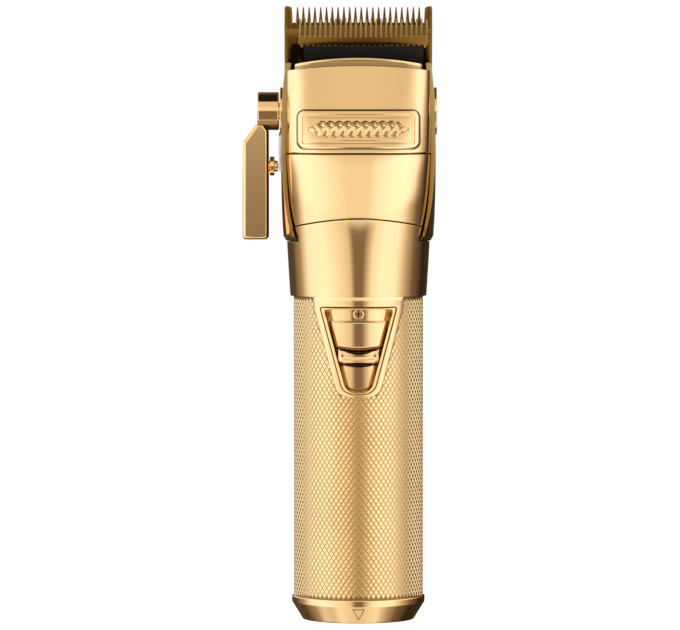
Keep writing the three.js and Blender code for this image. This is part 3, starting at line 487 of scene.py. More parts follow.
def shadeEdges(piece, depth=0.3, grow=None):
    return paintWhere(piece, "seam_shadow", lambda c: underSkin(c, grow) > depth)


# Mid panel and face cover
gap, wall = 0.35, 1.5
creaseLine = arch(creaseAt, 3.0, 21.2)
midPanel = frontPanel(
    "midPanelLook", lambda x: creaseLine(x) + gap, lambda x: seamAt - gap + 0 * np.asarray(x), wall,
)
faceLine = arch(faceTopAt, 1.4, 21.0)
faceCover = frontPanel(
    "faceCoverLook", lambda x: seamAt + 0 * np.asarray(x), faceLine, wall, cols=140, rows=72,
)
shadeEdges(midPanel)
shadeEdges(faceCover)
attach(midPanel, "clipper_body")
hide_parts("mid_panel")
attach(faceCover, "clipper_body")
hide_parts("face_cover")

# Mouth rim: the lip behind the face cover's top edge
rim = {"inset": -1.8, "wall": 1.8, "top": 69.7, "rise": 2.0, "lip": 0.75, "bottom": 60.0, "frontY": -3.0}
rimGrow = {"side": rim["inset"], "front": rim["inset"], "rear": rim["inset"]}


def rimLimit(at):
    return crossing(at, rimGrow, rim["frontY"], 0.0)


rimLine = arch(rim["top"], rim["rise"], 20.0)
mouthRim = frontPanel(
    "mouthRimLook", lambda x: rim["bottom"] + 0 * np.asarray(x), rimLine, rim["wall"],
    grow=rimGrow, cols=120, rows=30, bevel=0.7, sideLimit=rimLimit,
)
# painted shade: the rim's front below the lip band at its top edge is painted darker gold
paintWhere(mouthRim, "shaded_gold", lambda c: c[:, 2] - neckZ < rimLine(c[:, 0]) - rim["lip"])
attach(mouthRim, "clipper_body")
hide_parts("mouth_rim")
print("front panels made")

# Rear housing, wrapped round the back from split line to split line
rear = {
    "wall": 1.6, "chamfer": 1.4, "low": neckTop, "behind": 56.8, "sides": 68.3, "cols": 168, "rows": 96,
    "riseFrom": 7.4, "riseOver": 3.0,
}
shellGrow = {"side": 0.0, "front": 1.45, "rear": 1.5, "banded": 1.0}


def rearPoint(angle, at, inset):
    # the shell's skin, drawn in to the neck along its bottom chamfer
    full = formPoint(angle, at, **shrunk(shellGrow, inset))
    core = formPoint(angle, at, side=0.3 - inset, front=0.3 - inset, rear=0.3 - inset)
    share = np.clip((at - rear["low"]) / rear["chamfer"], 0, 1)[..., None]
    return full * share + core * (1 - share)


def rearHousingPiece():
    share = np.concatenate([np.linspace(0, 0.03, 5), np.linspace(0.03, 1, rear["rows"])[1:]])
    u, v = np.meshgrid(np.linspace(0, 1, rear["cols"]), share)
    at = rear["low"] + v * (rear["behind"] - rear["low"])
    for _ in range(8):
        start = splitAngle(at, shellGrow)
        angle = start + u * (np.pi - 2 * start)
        y = formPoint(angle, at, **shellGrow)[..., 1]
        top = rear["behind"] + (rear["sides"] - rear["behind"]) * ease(rear["riseFrom"] - y, rear["riseOver"])
        at = np.where(
            v <= 0.03, rear["low"] + rear["chamfer"] * v / 0.03,
            rear["low"] + rear["chamfer"] + (top - rear["low"] - rear["chamfer"]) * (v - 0.03) / 0.97,
        )
    points, faces = slab(rearPoint(angle, at, 0.0), rearPoint(angle, at, rear["wall"]))
    return makePiece("rearHousingLook", points, faces, "polished_gold")


rearHousing = rearHousingPiece()
low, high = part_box("rear_screw_1")
screwZ = (low[2] + high[2]) / 2 / mm
sinks = [
    spun("sink", [(0, 17.0), (2.4, 17.0), (2.4, 30.0), (0, 30.0)], "seam_shadow", 40, "Y", (x, 0, screwZ))
    for x in (-6, 6)
]
for sink in sinks:  # the sink stops just under the screw's head
    sink.data.transform(Matrix.Translation((0, (high[1] / mm - 0.9 - 17.0) * mm, 0)))
rearHousing = bevelled(cutBy(rearHousing, sinks), 0.3, 3)
# painted shade: the housing's edges and inner faces are painted darker gold, and the deepest of them near
# black
paintWhere(rearHousing, "shaded_gold", lambda c: underSkin(c, shellGrow) > 0.4)
shadeEdges(rearHousing, 0.9, shellGrow)
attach(rearHousing, "clipper_body")
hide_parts("rear_housing")
print("rear housing made")

# Neck: a full ring, with its apron up to the crease at the front and a tongue over the sleeve
neck = {"wall": 1.5, "top": neckTop - 0.3, "frontCols": 110, "rearCols": 110, "rows": 64}


def neckShellPiece():
    v = np.linspace(0, 1, neck["rows"])[:, None]
    frontU = np.linspace(-1, 1, neck["frontCols"])[None, :]
    at = v * creaseAt + 0 * frontU
    for _ in range(6):
        reach = splitAngle(np.maximum(at, neckTop), {}, -splitGap)
        frontAngle = -np.pi / 2 + frontU * (reach + np.pi / 2)
        x = formPoint(frontAngle, at)[..., 0]
        at = v * creaseLine(x)
    rearU = np.linspace(0, 1, neck["rearCols"])[None, :]
    start, end = frontAngle[0, -1] + 0.002, frontAngle[0, 0] + 2 * np.pi - 0.002
    rearAngle = start + rearU * (end - start) + 0 * v
    rearAt = v * neck["top"] + 0 * rearU
    angle = np.concatenate([frontAngle, rearAngle], axis=1)
    height = np.concatenate([at, rearAt], axis=1)
    outer = formPoint(angle, height)
    inner = formPoint(angle, height, **shrunk({}, neck["wall"]))
    shell = makePiece("neckShellLook", *slab(outer, inner, wrap=True), "polished_gold")
    return shadeEdges(bevelled(shell, 0.35, 3, 60.0), 0.45)


# Outlines of the tongue and the switch well, as closed loops in X and Z
taper = {"halfTop": 13.1, "halfBottom": 6.6, "top": -2.9, "bottom": -26.9, "bulge": 2.4}
taperSlope = (taper["halfTop"] - taper["halfBottom"]) / (taper["top"] - taper["bottom"])


def taperHalf(at):
    return taper["halfBottom"] + taperSlope * (at - taper["bottom"])


def evenly(loop, count):
    # the same closed loop with its points spaced evenly
    steps = np.r_[0, np.cumsum(np.linalg.norm(np.roll(loop, -1, axis=0) - loop, axis=1))]
    closed = np.vstack([loop, loop[:1]])
    spots = np.linspace(0, steps[-1], count, endpoint=False)
    return np.stack([np.interp(spots, steps, closed[:, k]) for k in (0, 1)], axis=1)


def taperLoop(inset, top, shoulder=None, soften=6):
    sideways = inset * math.hypot(1, taperSlope)
    bottom = taper["bottom"] + inset * 0.6
    halfBottom = taperHalf(bottom) - sideways
    topHalf = taperHalf(min(top, taper["top"])) - sideways if shoulder is None else shoulder[0]
    elbow = (topHalf, top if shoulder is None else shoulder[1])

    def line(a, b, n):
        return [(a[0] + (b[0] - a[0]) * i / n, a[1] + (b[1] - a[1]) * i / n) for i in range(n)]

    half = line((0, top), (topHalf, top), 24) + line((topHalf, top), elbow, 8 if shoulder else 1)
    half += line(elbow, (halfBottom, bottom), 48)
    for t in np.linspace(0, 1, 25):
        x = (1 - t) ** 2 * halfBottom + 2 * t * (1 - t) * halfBottom * 0.82
        z = (1 - t) ** 2 * bottom + (2 * t * (1 - t) + t * t) * (bottom - taper["bulge"])
        half.append((x, z))
    half = [p for i, p in enumerate(half) if i == 0 or p != half[i - 1]]
    loop = np.array(half + [(-x, z) for x, z in half[-2:0:-1]])
    loop = evenly(loop, 240)
    for _ in range(soften):
        loop = (np.roll(loop, 1, axis=0) + 2 * loop + np.roll(loop, -1, axis=0)) / 4
    return loop


def onTube(loop, radius):
    x, z = loop[:, 0], loop[:, 1] + neckZ
    return np.stack([x, -np.sqrt(radius**2 - x**2), z], axis=1)


def framePiece(name, outerLoop, innerLoop, outerRadius, innerRadius, bevel=0.3, crown=0.0):
    # a frame between two loops, bent round the handle
    between = (outerLoop + innerLoop) / 2
    loops = [(outerLoop, outerRadius), (between, outerRadius + crown), (innerLoop, outerRadius)]
    loops += [(innerLoop, innerRadius), (between, innerRadius), (outerLoop, innerRadius)]
    rings = [onTube(*loop) for loop in loops]
    faces = ringFaces(len(rings), len(outerLoop))
    return bevelled(makePiece(name, np.concatenate(rings), faces, "polished_gold"), bevel, 3, 40.0)


def cappedPlate(name, loop, outerRadius, innerRadius, bevel=0.2):
    # a plate that fills a loop, bent round the handle
    shares = (1.0, 0.66, 0.33, 0.02)
    rings = [onTube(loop * np.array([share, 1]), outerRadius) for share in shares]
    rings += [onTube(loop * np.array([share, 1]), innerRadius) for share in shares[::-1]]
    faces = ringFaces(len(rings), len(loop))
    return bevelled(makePiece(name, np.concatenate(rings), faces, "polished_gold"), bevel, 2, 40.0)


tongueWall = {"outer": 19.95, "inner": 17.9, "shadedBelow": 19.5, "border": 1.7, "bevel": 0.35}
tongueEdge = taperLoop(0.0, 0.5, shoulder=(taper["halfTop"], taper["top"] - 0.3))
wellEdge = taperLoop(tongueWall["border"], taper["top"])
tongue = framePiece(
    "tongueLook", tongueEdge, wellEdge, tongueWall["outer"], tongueWall["inner"], tongueWall["bevel"],
)
# painted shade: the tongue's inner edges, inside the shadedBelow radius, are painted darker gold
paintWhere(tongue, "shaded_gold", lambda c: np.hypot(c[:, 0], c[:, 1]) < tongueWall["shadedBelow"])
neckShell = joined(neckShellPiece(), tongue)
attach(neckShell, "clipper_body")
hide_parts("neck_shell")

# Switch well: a raised rim round a sunken floor, with a ring and a smaller ring inside it at its top
well = {
    "rimInset": 1.85, "rimWidth": 0.85, "rimRadius": 20.3, "floorRadius": 17.95, "backRadius": 17.0,
    "slotHalf": 1.7, "markDrop": 4.95,
}
rimOuter = taperLoop(well["rimInset"], taper["top"] - 0.15)
rimInner = taperLoop(well["rimInset"] + well["rimWidth"], taper["top"] - 0.75)
wellRim = framePiece("wellRimLook", rimOuter, rimInner, well["rimRadius"], well["backRadius"], 0.26, 0.05)
# painted shade: the rim's inner walls, down in the well, are painted darker gold
paintWhere(wellRim, "shaded_gold", lambda c: np.hypot(c[:, 0], c[:, 1]) < 19.7)
floorEdge = taperLoop(well["rimInset"] + 0.4, taper["top"] - 0.4)
wellFloor = cappedPlate("wellFloorLook", floorEdge, well["floorRadius"], well["backRadius"])
slotHalf = well["slotHalf"]
slotCutter = boxPiece("slotCutter", (-slotHalf, -25, neckZ - 20), (slotHalf, -5, neckZ - 10), "seam_shadow")
wellFloor = cutBy(wellFloor, [slotCutter])


def ringPiece(name, radius, thickness, centre, finish, turns=48, sides=10):
    points = []
    for a in np.linspace(0, 2 * np.pi, turns, endpoint=False):
        for b in np.linspace(0, 2 * np.pi, sides, endpoint=False):
            reach = radius + thickness * math.cos(b)
            points.append((reach * math.cos(a), thickness * math.sin(b) * 0.7, reach * math.sin(a)))
    return makePiece(name, np.array(points) + np.array(centre), ringFaces(turns, sides), finish)


markZ = neckZ - well["markDrop"]
markRing = ringPiece("markRingLook", 1.4, 0.2, (0, -well["floorRadius"], markZ), "polished_gold")
markInner = ringPiece("markInnerLook", 0.42, 0.12, (0, -well["floorRadius"], markZ), "seam_shadow", 32, 8)
switchBezel = joined(wellRim, wellFloor, markRing, markInner)
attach(switchBezel, "clipper_body")
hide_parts("switch_bezel")
print("neck and switch well made")

# Switch slider: a tapering plate with sloped sides and a scooped thumb rib
slider = {
    "inset": 3.05, "top": -6.85, "floor": 18.25, "face": 19.15, "sideSlope": 1.0, "ribTop": -14.4,
    "ribBottom": -20.1, "ribProud": 1.35, "ribHalf": 6.1, "cols": 121, "rows": 230,
}


def paintedThumbShadows(centres):
    # painted shade: a near black crescent above the rib and a near black lens below it
    x, z = centres[:, 0], centres[:, 2] - neckZ
    bend = (x / 5.8) ** 2
    crescent = (z < -15.25 + 0.65 * bend) & (z > -16.65 + 1.95 * bend)
    lens = (z < -18.85 - 0.75 * (x / 4.9) ** 2) & (z > -20.35 + 0.75 * (x / 4.9) ** 2)
    outside = np.hypot(centres[:, 0], centres[:, 1]) > slider["floor"] + 0.5
    return (crescent | lens) & outside


def sliderPiece():
    sideways = slider["inset"] * math.hypot(1, taperSlope)
    bottom = taper["bottom"] + slider["inset"] * 0.6
    tip = bottom - taper["bulge"]
    foot = tip + (bottom - tip) * (1 - np.cos(np.linspace(0, np.pi / 2, 22)))
    at = np.concatenate([foot, np.linspace(bottom, slider["top"], slider["rows"])[1:]])
    halfBottom = taperHalf(bottom) - sideways
    bulging = np.sqrt(np.clip(1 - np.clip((bottom - at) / taper["bulge"], 0, 1) ** 2.2, 0.0008, 1))
    half = np.where(at < bottom, halfBottom * bulging, taperHalf(at) - sideways)
    corner = np.clip((at - slider["top"] + 0.7) / 0.7, 0, 1)
    half = half - 0.7 * (1 - np.sqrt(np.clip(1 - corner**2, 0, 1)))
    s, half = np.meshgrid(np.linspace(-1, 1, slider["cols"]), half)
    at = np.repeat(at[:, None], slider["cols"], axis=1)
    x = half * np.sign(s) * (1 - (1 - np.abs(s)) ** 1.25)
    inward = np.minimum(half - np.abs(x), np.minimum((at - tip) * 0.8, slider["top"] - at + 0.35))
    slope = np.clip(inward / slider["sideSlope"], 0, 1)
    bend = 0.5 * (x / slider["ribHalf"]) ** 2
    rib = ease(slider["ribTop"] - at + bend, 1.7) * ease(at - slider["ribBottom"] + 0.2 * bend, 1.9)
    rib = rib * ease(slider["ribHalf"] + 0.6 - np.abs(x), 0.9)
    middle = (slider["ribTop"] + slider["ribBottom"]) / 2
    hollow = 0.35 * np.exp(-(((at - middle) / 1.0) ** 2)) * ease(slider["ribHalf"] - np.abs(x), 2.0)
    edge = slider["floor"] + 0.3
    radius = edge + (slider["face"] - edge) * slope + slider["ribProud"] * rib - hollow
    outer = np.stack([x, -np.sqrt(radius**2 - x**2), at + neckZ], axis=-1)
    inner = np.stack([x, -np.sqrt(slider["floor"] ** 2 - x**2), at + neckZ], axis=-1)
    piece = makePiece("switchSliderLook", *slab(outer, inner), "polished_gold", 40.0)
    # painted shade: the sloped sides near the floor are painted darker gold, and the marks round the thumb
    # rib near black
    paintWhere(piece, "shaded_gold", lambda c: np.hypot(c[:, 0], c[:, 1]) < slider["floor"] + 0.5)
    return paintWhere(piece, "thumb_shadow", paintedThumbShadows)


sliderStem = boxPiece("stemLook", (-1.3, -18.5, neckZ - 16.6), (1.3, -14.45, neckZ - 14.0), "black_plastic")
switchSlider = joined(sliderPiece(), sliderStem)
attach(switchSlider, "switch")
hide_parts("switch_slider")
print("switch slider made")

# Handle sleeve: a smooth core with flat-topped diamonds set on it in staggered rows
knurl = {
    "around": 80, "rows": 39, "radius": 18.84, "inner": 17.85, "low": 7.3, "high": 94.9, "fill": 0.96,
    "proud": 0.21, "foot": 5.3,  # the foot is inside the cap's rim
}


def studMesh():
    # one flat-topped diamond, drawn at 1 unit across and 1 unit tall
    top, base = 0.35, 0.5
    corners = [(1, 0), (0, 1), (-1, 0), (0, -1)]
    points = [(base * x, 0, base * z) for x, z in corners] + [(top * x, -1.0, top * z) for x, z in corners]
    points += [(x, 0.6, z) for x, _, z in points[:4]]
    faces = [(0, 1, 5, 4), (1, 2, 6, 5), (2, 3, 7, 6), (3, 0, 4, 7), (4, 5, 6, 7)]
    faces += [(8, 9, 1, 0), (9, 10, 2, 1), (10, 11, 3, 2), (11, 8, 0, 3), (11, 10, 9, 8)]
    return points, faces


def geometryTree(name, floats, others):
    tree = bpy.data.node_groups.new(name, "GeometryNodeTree")
    tree.interface.new_socket(name="Geometry", in_out="INPUT", socket_type="NodeSocketGeometry")
    for label, value in floats.items():
        kind = "NodeSocketInt" if isinstance(value, int) else "NodeSocketFloat"
        tree.interface.new_socket(name=label, in_out="INPUT", socket_type=kind).default_value = value
    for label, kind in others:
        tree.interface.new_socket(name=label, in_out="INPUT", socket_type=kind)
    tree.interface.new_socket(name="Geometry", in_out="OUTPUT", socket_type="NodeSocketGeometry")
    return tree, tree.nodes.new("NodeGroupInput"), tree.nodes.new("NodeGroupOutput")


def setInputs(piece, tree, values):
    modifier = piece.modifiers.new(tree.name, "NODES")
    modifier.node_group = tree
    for item in tree.interface.items_tree:
        if item.item_type == "SOCKET" and item.in_out == "INPUT" and item.name in values:
            modifier[item.identifier] = values[item.name]


def addCopies(tree, inlet, outlet, points, shape, placing):
    # sets copies of a shape on points, paints them and adds them to what came in
    get = inlet.outputs
    source = addNode(tree, "GeometryNodeObjectInfo", {"Object": get[shape]}).outputs["Geometry"]
    copies = addNode(tree, "GeometryNodeInstanceOnPoints", {"Points": points, "Instance": source, **placing})
    real = addNode(tree, "GeometryNodeRealizeInstances", {0: copies.outputs[0]})
    paint = addNode(tree, "GeometryNodeSetMaterial", {"Geometry": real.outputs[0], "Material": get["Finish"]})
    whole = addNode(tree, "GeometryNodeJoinGeometry", {0: paint.outputs[0]})
    setSockets(tree, whole, {0: get["Geometry"]})
    setSockets(tree, outlet, {0: whole.outputs[0]})
    return tree


def makeKnurlTree():
    tree, inlet, outlet = geometryTree(
        "knurlRows",
        {
            "Around": 80, "Rows": 39, "Radius": 0.0188, "Bottom": 0.0073, "Height": 0.0876, "Fill": 0.94,
            "Proud": 0.0003,
        },
        [("Stud", "NodeSocketObject"), ("Finish", "NodeSocketMaterial")],
    )
    get = inlet.outputs

    def calc(operation, *values):
        return doMath(tree, operation, *values)

    def times(*values):
        return calc("MULTIPLY", *values)

    def vector(*values):
        return addNode(tree, "ShaderNodeCombineXYZ", dict(enumerate(values))).outputs[0]

    points = addNode(tree, "GeometryNodePoints", {"Count": times(times(get["Rows"], 2.0), get["Around"])})
    index = addNode(tree, "GeometryNodeInputIndex").outputs[0]
    row = calc("FLOOR", calc("DIVIDE", index, get["Around"]))
    column = calc("SUBTRACT", index, times(row, get["Around"]))
    stagger = times(calc("MODULO", row, 2.0), 0.5)
    turn = times(calc("DIVIDE", calc("ADD", column, stagger), get["Around"]), 2 * math.pi)
    pitch = calc("DIVIDE", get["Height"], get["Rows"])
    level = calc("ADD", get["Bottom"], times(times(row, pitch), 0.5))
    x, y = times(calc("SINE", turn), get["Radius"]), times(times(calc("COSINE", turn), get["Radius"]), -1.0)
    spots = addNode(
        tree, "GeometryNodeSetPosition", {"Geometry": points.outputs[0], "Position": vector(x, y, level)},
    )
    # the tongue and the switch well cover a tapering patch at the front
    here = addNode(tree, "GeometryNodeInputPosition").outputs[0]
    hereX, hereY, hereZ = addNode(tree, "ShaderNodeSeparateXYZ", {0: here}).outputs
    lowest, widest = (neckZ + taper["bottom"] - 1.4) * mm, (taper["halfTop"] - 0.5) * mm
    rising = times(calc("SUBTRACT", hereZ, lowest), taperSlope)
    halfHere = calc("MINIMUM", calc("ADD", rising, (taper["halfBottom"] - 1.0) * mm), widest)
    inside = calc("LESS_THAN", calc("ABSOLUTE", hereX), halfHere)
    above, facing = calc("GREATER_THAN", hereZ, lowest), calc("LESS_THAN", hereY, 0.0)
    kept = addNode(
        tree, "GeometryNodeDeleteGeometry",
        {"Geometry": spots.outputs[0], "Selection": times(times(inside, above), facing)}, domain="POINT",
    )
    width = times(calc("DIVIDE", times(get["Radius"], 2 * math.pi), get["Around"]), get["Fill"])
    return addCopies(tree, inlet, outlet, kept.outputs[0], "Stud", {
        "Rotation": vector(0.0, 0.0, calc("ARCTAN2", hereX, times(hereY, -1.0))),
        "Scale": vector(width, get["Proud"], times(pitch, get["Fill"])),
    })


def tubePiece(name, outer, inner, low, high, finish, segments=160):
    angle, z = np.meshgrid(np.linspace(0, 2 * np.pi, segments, endpoint=False), np.linspace(low, high, 12))
    walls = [np.stack([r * np.cos(angle), r * np.sin(angle), z], axis=-1) for r in (outer, inner)]
    return makePiece(name, *slab(*walls, wrap=True), finish)


def makeStud(name):
    points, faces = studMesh()
    stud = makePiece(name, np.array(points) / mm, faces, "knurled_gold", 10.0)
    stud.data.shade_flat()
    return stud


# the core between the diamonds is painted dark gold as shade in the grooves
sleeve = tubePiece(
    "handleSleeveLook", knurl["radius"], knurl["inner"], knurl["foot"], neckZ - 0.1, "knurl_groove",
)
wellHole = onTube(taperLoop(1.2, taper["top"] + 1.5), 20.0)
holePoints = np.concatenate([wellHole, wellHole * np.array([1, 0, 1]) + np.array([0, -10.0, 0])])
holeFaces = prismFaces(len(wellHole))
sleeve = cutBy(sleeve, [makePiece("wellHole", holePoints, holeFaces, "seam_shadow")])
stud = makeStud("studShape")
setInputs(sleeve, makeKnurlTree(), {
    "Around": knurl["around"], "Rows": knurl["rows"], "Radius": knurl["radius"] * mm,
    "Bottom": (knurl["low"] + 0.9) * mm, "Height": (knurl["high"] - knurl["low"] - 0.6) * mm,
    "Fill": knurl["fill"], "Proud": knurl["proud"] * mm,
    "Stud": stud, "Finish": finishes["knurled_gold"],
})
bakeModifiers(sleeve, 20.0)
bpy.data.objects.remove(stud)
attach(sleeve, "clipper_body")
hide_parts("handle_sleeve")
print("sleeve made", len(sleeve.data.polygons), "faces")

# End cap with its chamfered foot, charging well, contact holes and the pointer at the front
cap = {"foot": 16.3, "radius": 19.56, "chamfer": 5.2, "top": 7.0, "edge": 0.24}
capProfile = rounded([
    (0, 0), (cap["foot"], 0), (cap["radius"], cap["chamfer"]), (cap["radius"], cap["top"]),
    (18.2, cap["top"]), (17.5, 3.6), (0, 3.2),
], cap["edge"], 4)
endCap = spun("endCapLook", capProfile, "polished_gold", 160)
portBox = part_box("charge_port")
portLow = (portBox[0][0] / mm - 0.3, portBox[0][1] / mm - 0.3, -2)
portHigh = (portBox[1][0] / mm + 0.3, portBox[1][1] / mm + 0.3, 9)
contactHole = [(0, -2), (2.1, -2), (2.1, 9), (0, 9)]
contactCuts = [spun("contactCut", contactHole, "seam_shadow", 40, "Z", (x, -7, 0)) for x in (-6, 6)]
endCap = cutBy(endCap, [boxPiece("portCut", portLow, portHigh, "seam_shadow"), *contactCuts])
capFlare = (cap["radius"] - cap["foot"]) / cap["chamfer"]
capSlope = math.atan(capFlare)


def pointerBar(start, end, width):
    # one side of the pointer, let into the chamfer
    (x0, h0), (x1, h1) = start, end
    along = np.array([x1 - x0, h1 - h0])
    across = np.array([-along[1], along[0]]) / np.linalg.norm(along) * width / 2
    corners = [np.array(p) + s * across for p in (start, end) for s in (1, -1)]

    def place(corner, lift):
        x, h = corner
        radius = cap["foot"] + capFlare * h + lift * math.cos(capSlope)
        return (x, -math.sqrt(radius**2 - x**2), h - lift * math.sin(capSlope))

    points = [place(c, lift) for lift in (0.035, -0.3) for c in corners]
    return makePiece("pointerLook", points, boxFaces, "seam_shadow")


pointerTop = [(-1.7, 4.3), (-0.85, 4.3), (0.0, 4.3), (0.85, 4.3), (1.7, 4.3)]
pointer = [*zip(pointerTop, pointerTop[1:]), (pointerTop[0], (0.0, 1.2)), (pointerTop[-1], (0.0, 1.2))]
endCap = joined(endCap, *[pointerBar(a, b, 0.2) for a, b in pointer])
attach(endCap, "clipper_body")
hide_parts("end_cap")
print("end cap made")

# Face badge: a framed plate that follows the cover, with a plaited lock of hair in relief and no lettering
badge = {
    "half": 17.75, "low": 43.15, "high": 54.25, "corner": 2.0, "proud": 0.32, "frame": 1.25,
    "frameDrop": 0.44, "plaitHalf": 14.2, "plaitWave": 1.35, "plaitPitch": 7.6, "strand": 1.05,
    "strandProud": 0.62, "cols": 420, "rows": 132,
}


def coverDepth(x, at):
    half, front, corner = smoothTable(at, 1), smoothTable(at, 2), smoothTable(at, 5)
    return front * (1 - np.minimum(np.abs(x) / half, 0.999) ** corner) ** (1 / corner)


def coverPoint(x, at, lift):
    step = 0.05
    slope = (coverDepth(x, at + step) - coverDepth(x, at - step)) / (2 * step)
    tilt = np.arctan(-slope)
    return np.stack([x, -coverDepth(x, at) - lift * np.cos(tilt), neckZ + at + lift * np.sin(tilt)], axis=-1)


def roundedGrid(half, low, high, corner, cols, rows):
    # a grid that fills a rectangle with rounded corners
    at = np.linspace(low, high, rows)
    edge = np.minimum(at - low, high - at)
    cutIn = np.where(edge < corner, corner - np.sqrt(np.clip(corner**2 - (corner - edge) ** 2, 0, None)), 0)
    s, width = np.meshgrid(np.linspace(-1, 1, cols), half - cutIn)
    return s * width, np.repeat(at[:, None], cols, axis=1)


def edgeDistance(x, at, half, low, high, corner):
    middle, tall = (low + high) / 2, (high - low) / 2
    qx, qz = np.abs(x) - half + corner, np.abs(at - middle) - tall + corner
    outside = np.hypot(np.maximum(qx, 0), np.maximum(qz, 0)) + np.minimum(np.maximum(qx, qz), 0) - corner
    return -outside


def plait(x, at):
    # how high the three strands stand, from 0 between them to 1
    b = badge
    fade = ease(b["plaitHalf"] - np.abs(x), 3.0)
    best = np.zeros_like(x)
    for k in range(3):
        turn = 2 * np.pi * (x / b["plaitPitch"] + k / 3)
        centre = (b["low"] + b["high"]) / 2 + b["plaitWave"] * fade * np.sin(turn)
        over = 0.62 + 0.38 * np.cos(2 * turn + 0.6)
        apart = np.abs(at - centre) / (b["strand"] * (0.55 + 0.45 * fade))
        hairs = 0.9 + 0.1 * np.cos(apart * 9.0)
        best = np.maximum(best, np.sqrt(np.clip(1 - apart**2, 0, 1)) * over * hairs)
    return best * ease(b["plaitHalf"] + 0.6 - np.abs(x), 1.2)


def badgePiece():
    b = badge
    x, at = roundedGrid(b["half"], b["low"], b["high"], b["corner"], b["cols"], b["rows"])
    near = edgeDistance(x, at, b["half"], b["low"], b["high"], b["corner"])
    lift = b["proud"] * ease(near + 0.05, 0.4)
    within = near - b["frame"]
    lift = lift - b["frameDrop"] * (ease(within, 0.35) - 0.75 * ease(within - 0.75, 0.3))
    lift = lift + b["strandProud"] * plait(x, at)
    outer, inner = coverPoint(x, at, lift), coverPoint(x, at, -0.5 + 0 * x)
    points, faces = slab(outer, inner)
    piece = makePiece("faceBadgeLook", points, faces, "polished_gold", 50.0)

    # painted shade: the feet of the strands, where they rise from the plate, are painted darker gold as dark
    # outlines
    def outline(centres):
        height = plait(centres[:, 0], centres[:, 2] - neckZ)
        return (height > 0.02) & (height < 0.3) & (centres[:, 1] < -10)

    return paintWhere(piece, "shaded_gold", outline)


def groovePiece():
    # the shadow line let into the cover all round the badge
    b = badge
    rings = []
    for grow, lift in ((0.02, 0.015), (0.34, 0.015), (0.34, -0.4), (0.02, -0.4)):
        half, low, high, corner = b["half"] + grow, b["low"] - grow, b["high"] + grow, b["corner"] + grow
        loop = []
        left, right, bottom, top = corner - half, half - corner, low + corner, high - corner
        for cx, cz, start in ((right, top, 0), (left, top, 90), (left, bottom, 180), (right, bottom, 270)):
            for a in np.radians(np.linspace(start, start + 90, 9)):
                loop.append((cx + corner * math.cos(a), cz + corner * math.sin(a)))
        x, at = evenly(np.array(loop), 360).T
        rings.append(coverPoint(x, at, lift + 0 * x))
    return makePiece("grooveLook", np.concatenate(rings), ringFaces(4, 360), "seam_shadow")


faceBadge = joined(badgePiece(), groovePiece())
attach(faceBadge, "clipper_body")
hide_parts("face_badge")
print("badge made")

# Taper lever and its hub on the left, the matching cap on the right
leverAxis = {"y": 6.0, "z": 149.357, "hubOuter": -29.7, "hubInner": -23.4, "hubRadius": 5.6, "recess": 2.9}
axisSpot = (0, leverAxis["y"], leverAxis["z"])
bossSettings = {"lever_boss": (-23.1, -22.3, 2.5), "side_cap": (22.3, 23.1, 0)}
for nodeName, (x0, x1, bore) in bossSettings.items():
    ends = sorted((x0, x1))
    profile = [(0, ends[0]), (7.0, ends[0]), (7.0, ends[1]), (0, ends[1])]
    disc = spun(nodeName + "Look", rounded(profile, 0.28, 4), "polished_gold", 96, "X", axisSpot)
    if bore:
        cutter = spun("bore", [(0, -30), (bore, -30), (bore, -15), (0, -15)], "steel", 48, "X", axisSpot)
        disc = cutBy(disc, [cutter])
    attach(disc, "clipper_body")
    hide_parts(nodeName)

leverArm = {"outer": -34.1, "inner": -26.4, "drop": 37.8, "top": -3.6, "half": 4.0, "chamfer": 0.75}


def leverPiece():
    a, y, z = leverArm, leverAxis["y"], leverAxis["z"]
    outline = [
        (a["outer"], z - a["drop"]), (a["inner"], z - a["drop"]), (a["inner"], z + a["top"] - 2.2),
        (a["inner"] - 1.4, z + a["top"]), (a["outer"] + 4.2, z + a["top"]), (a["outer"], z + a["top"] - 5.6),
    ]
    front, behind = y - a["half"], y + a["half"]
    points = [(x, front, h) for x, h in outline] + [(x, behind, h) for x, h in outline]
    block = makePiece("leverArmLook", points, prismFaces(len(outline)), "polished_gold")
    arm = bevelled(block, a["chamfer"], 1, 50.0)
    arm = holdFaces(bevelled(arm, 0.14, 2, 20.0), 6.0)

    # painted dark reflection: the chamfer along the arm's inner front edge is painted near black
    def chamferShade(c):
        across = (c[:, 0] > a["inner"] - a["chamfer"] - 1.0) & (c[:, 0] < a["inner"] - 0.1)
        return across & (c[:, 1] > front + 0.1) & (c[:, 1] < front + a["chamfer"])

    paintWhere(arm, "thumb_shadow", chamferShade)
    outer, inner, radius, recess = (leverAxis[key] for key in ("hubOuter", "hubInner", "hubRadius", "recess"))
    hubProfile = [
        (0, outer + 1.2), (recess, outer + 1.2), (recess, outer), (radius, outer), (radius, inner),
        (0, inner),
    ]
    hub = spun("leverHubLook", rounded(hubProfile, 0.4, 4), "polished_gold", 96, "X", axisSpot)
    # painted shade: the hub's lower part, just above the arm's top and below, is painted darker gold
    paintWhere(hub, "shaded_gold", lambda c: c[:, 2] < z + a["top"] + 0.8)
    return joined(arm, hub)


taperLever = leverPiece()
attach(taperLever, "lever")
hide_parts("taper_lever")

plungerZ = leverAxis["z"] - 16.2
collarProfile = [
    (0, -27.4), (1.5, -27.4), (1.5, -26.1), (2.8, -26.1), (2.8, -24.75), (1.6, -24.75), (1.6, -23.75),
    (0, -23.75),
]
collarSpot = (0, leverAxis["y"], plungerZ)
collar = spun("plungerCollarLook", rounded(collarProfile, 0.18, 3), "polished_gold", 64, "X", collarSpot)
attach(collar, "lever")
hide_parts("plunger_collar")
print("lever made")

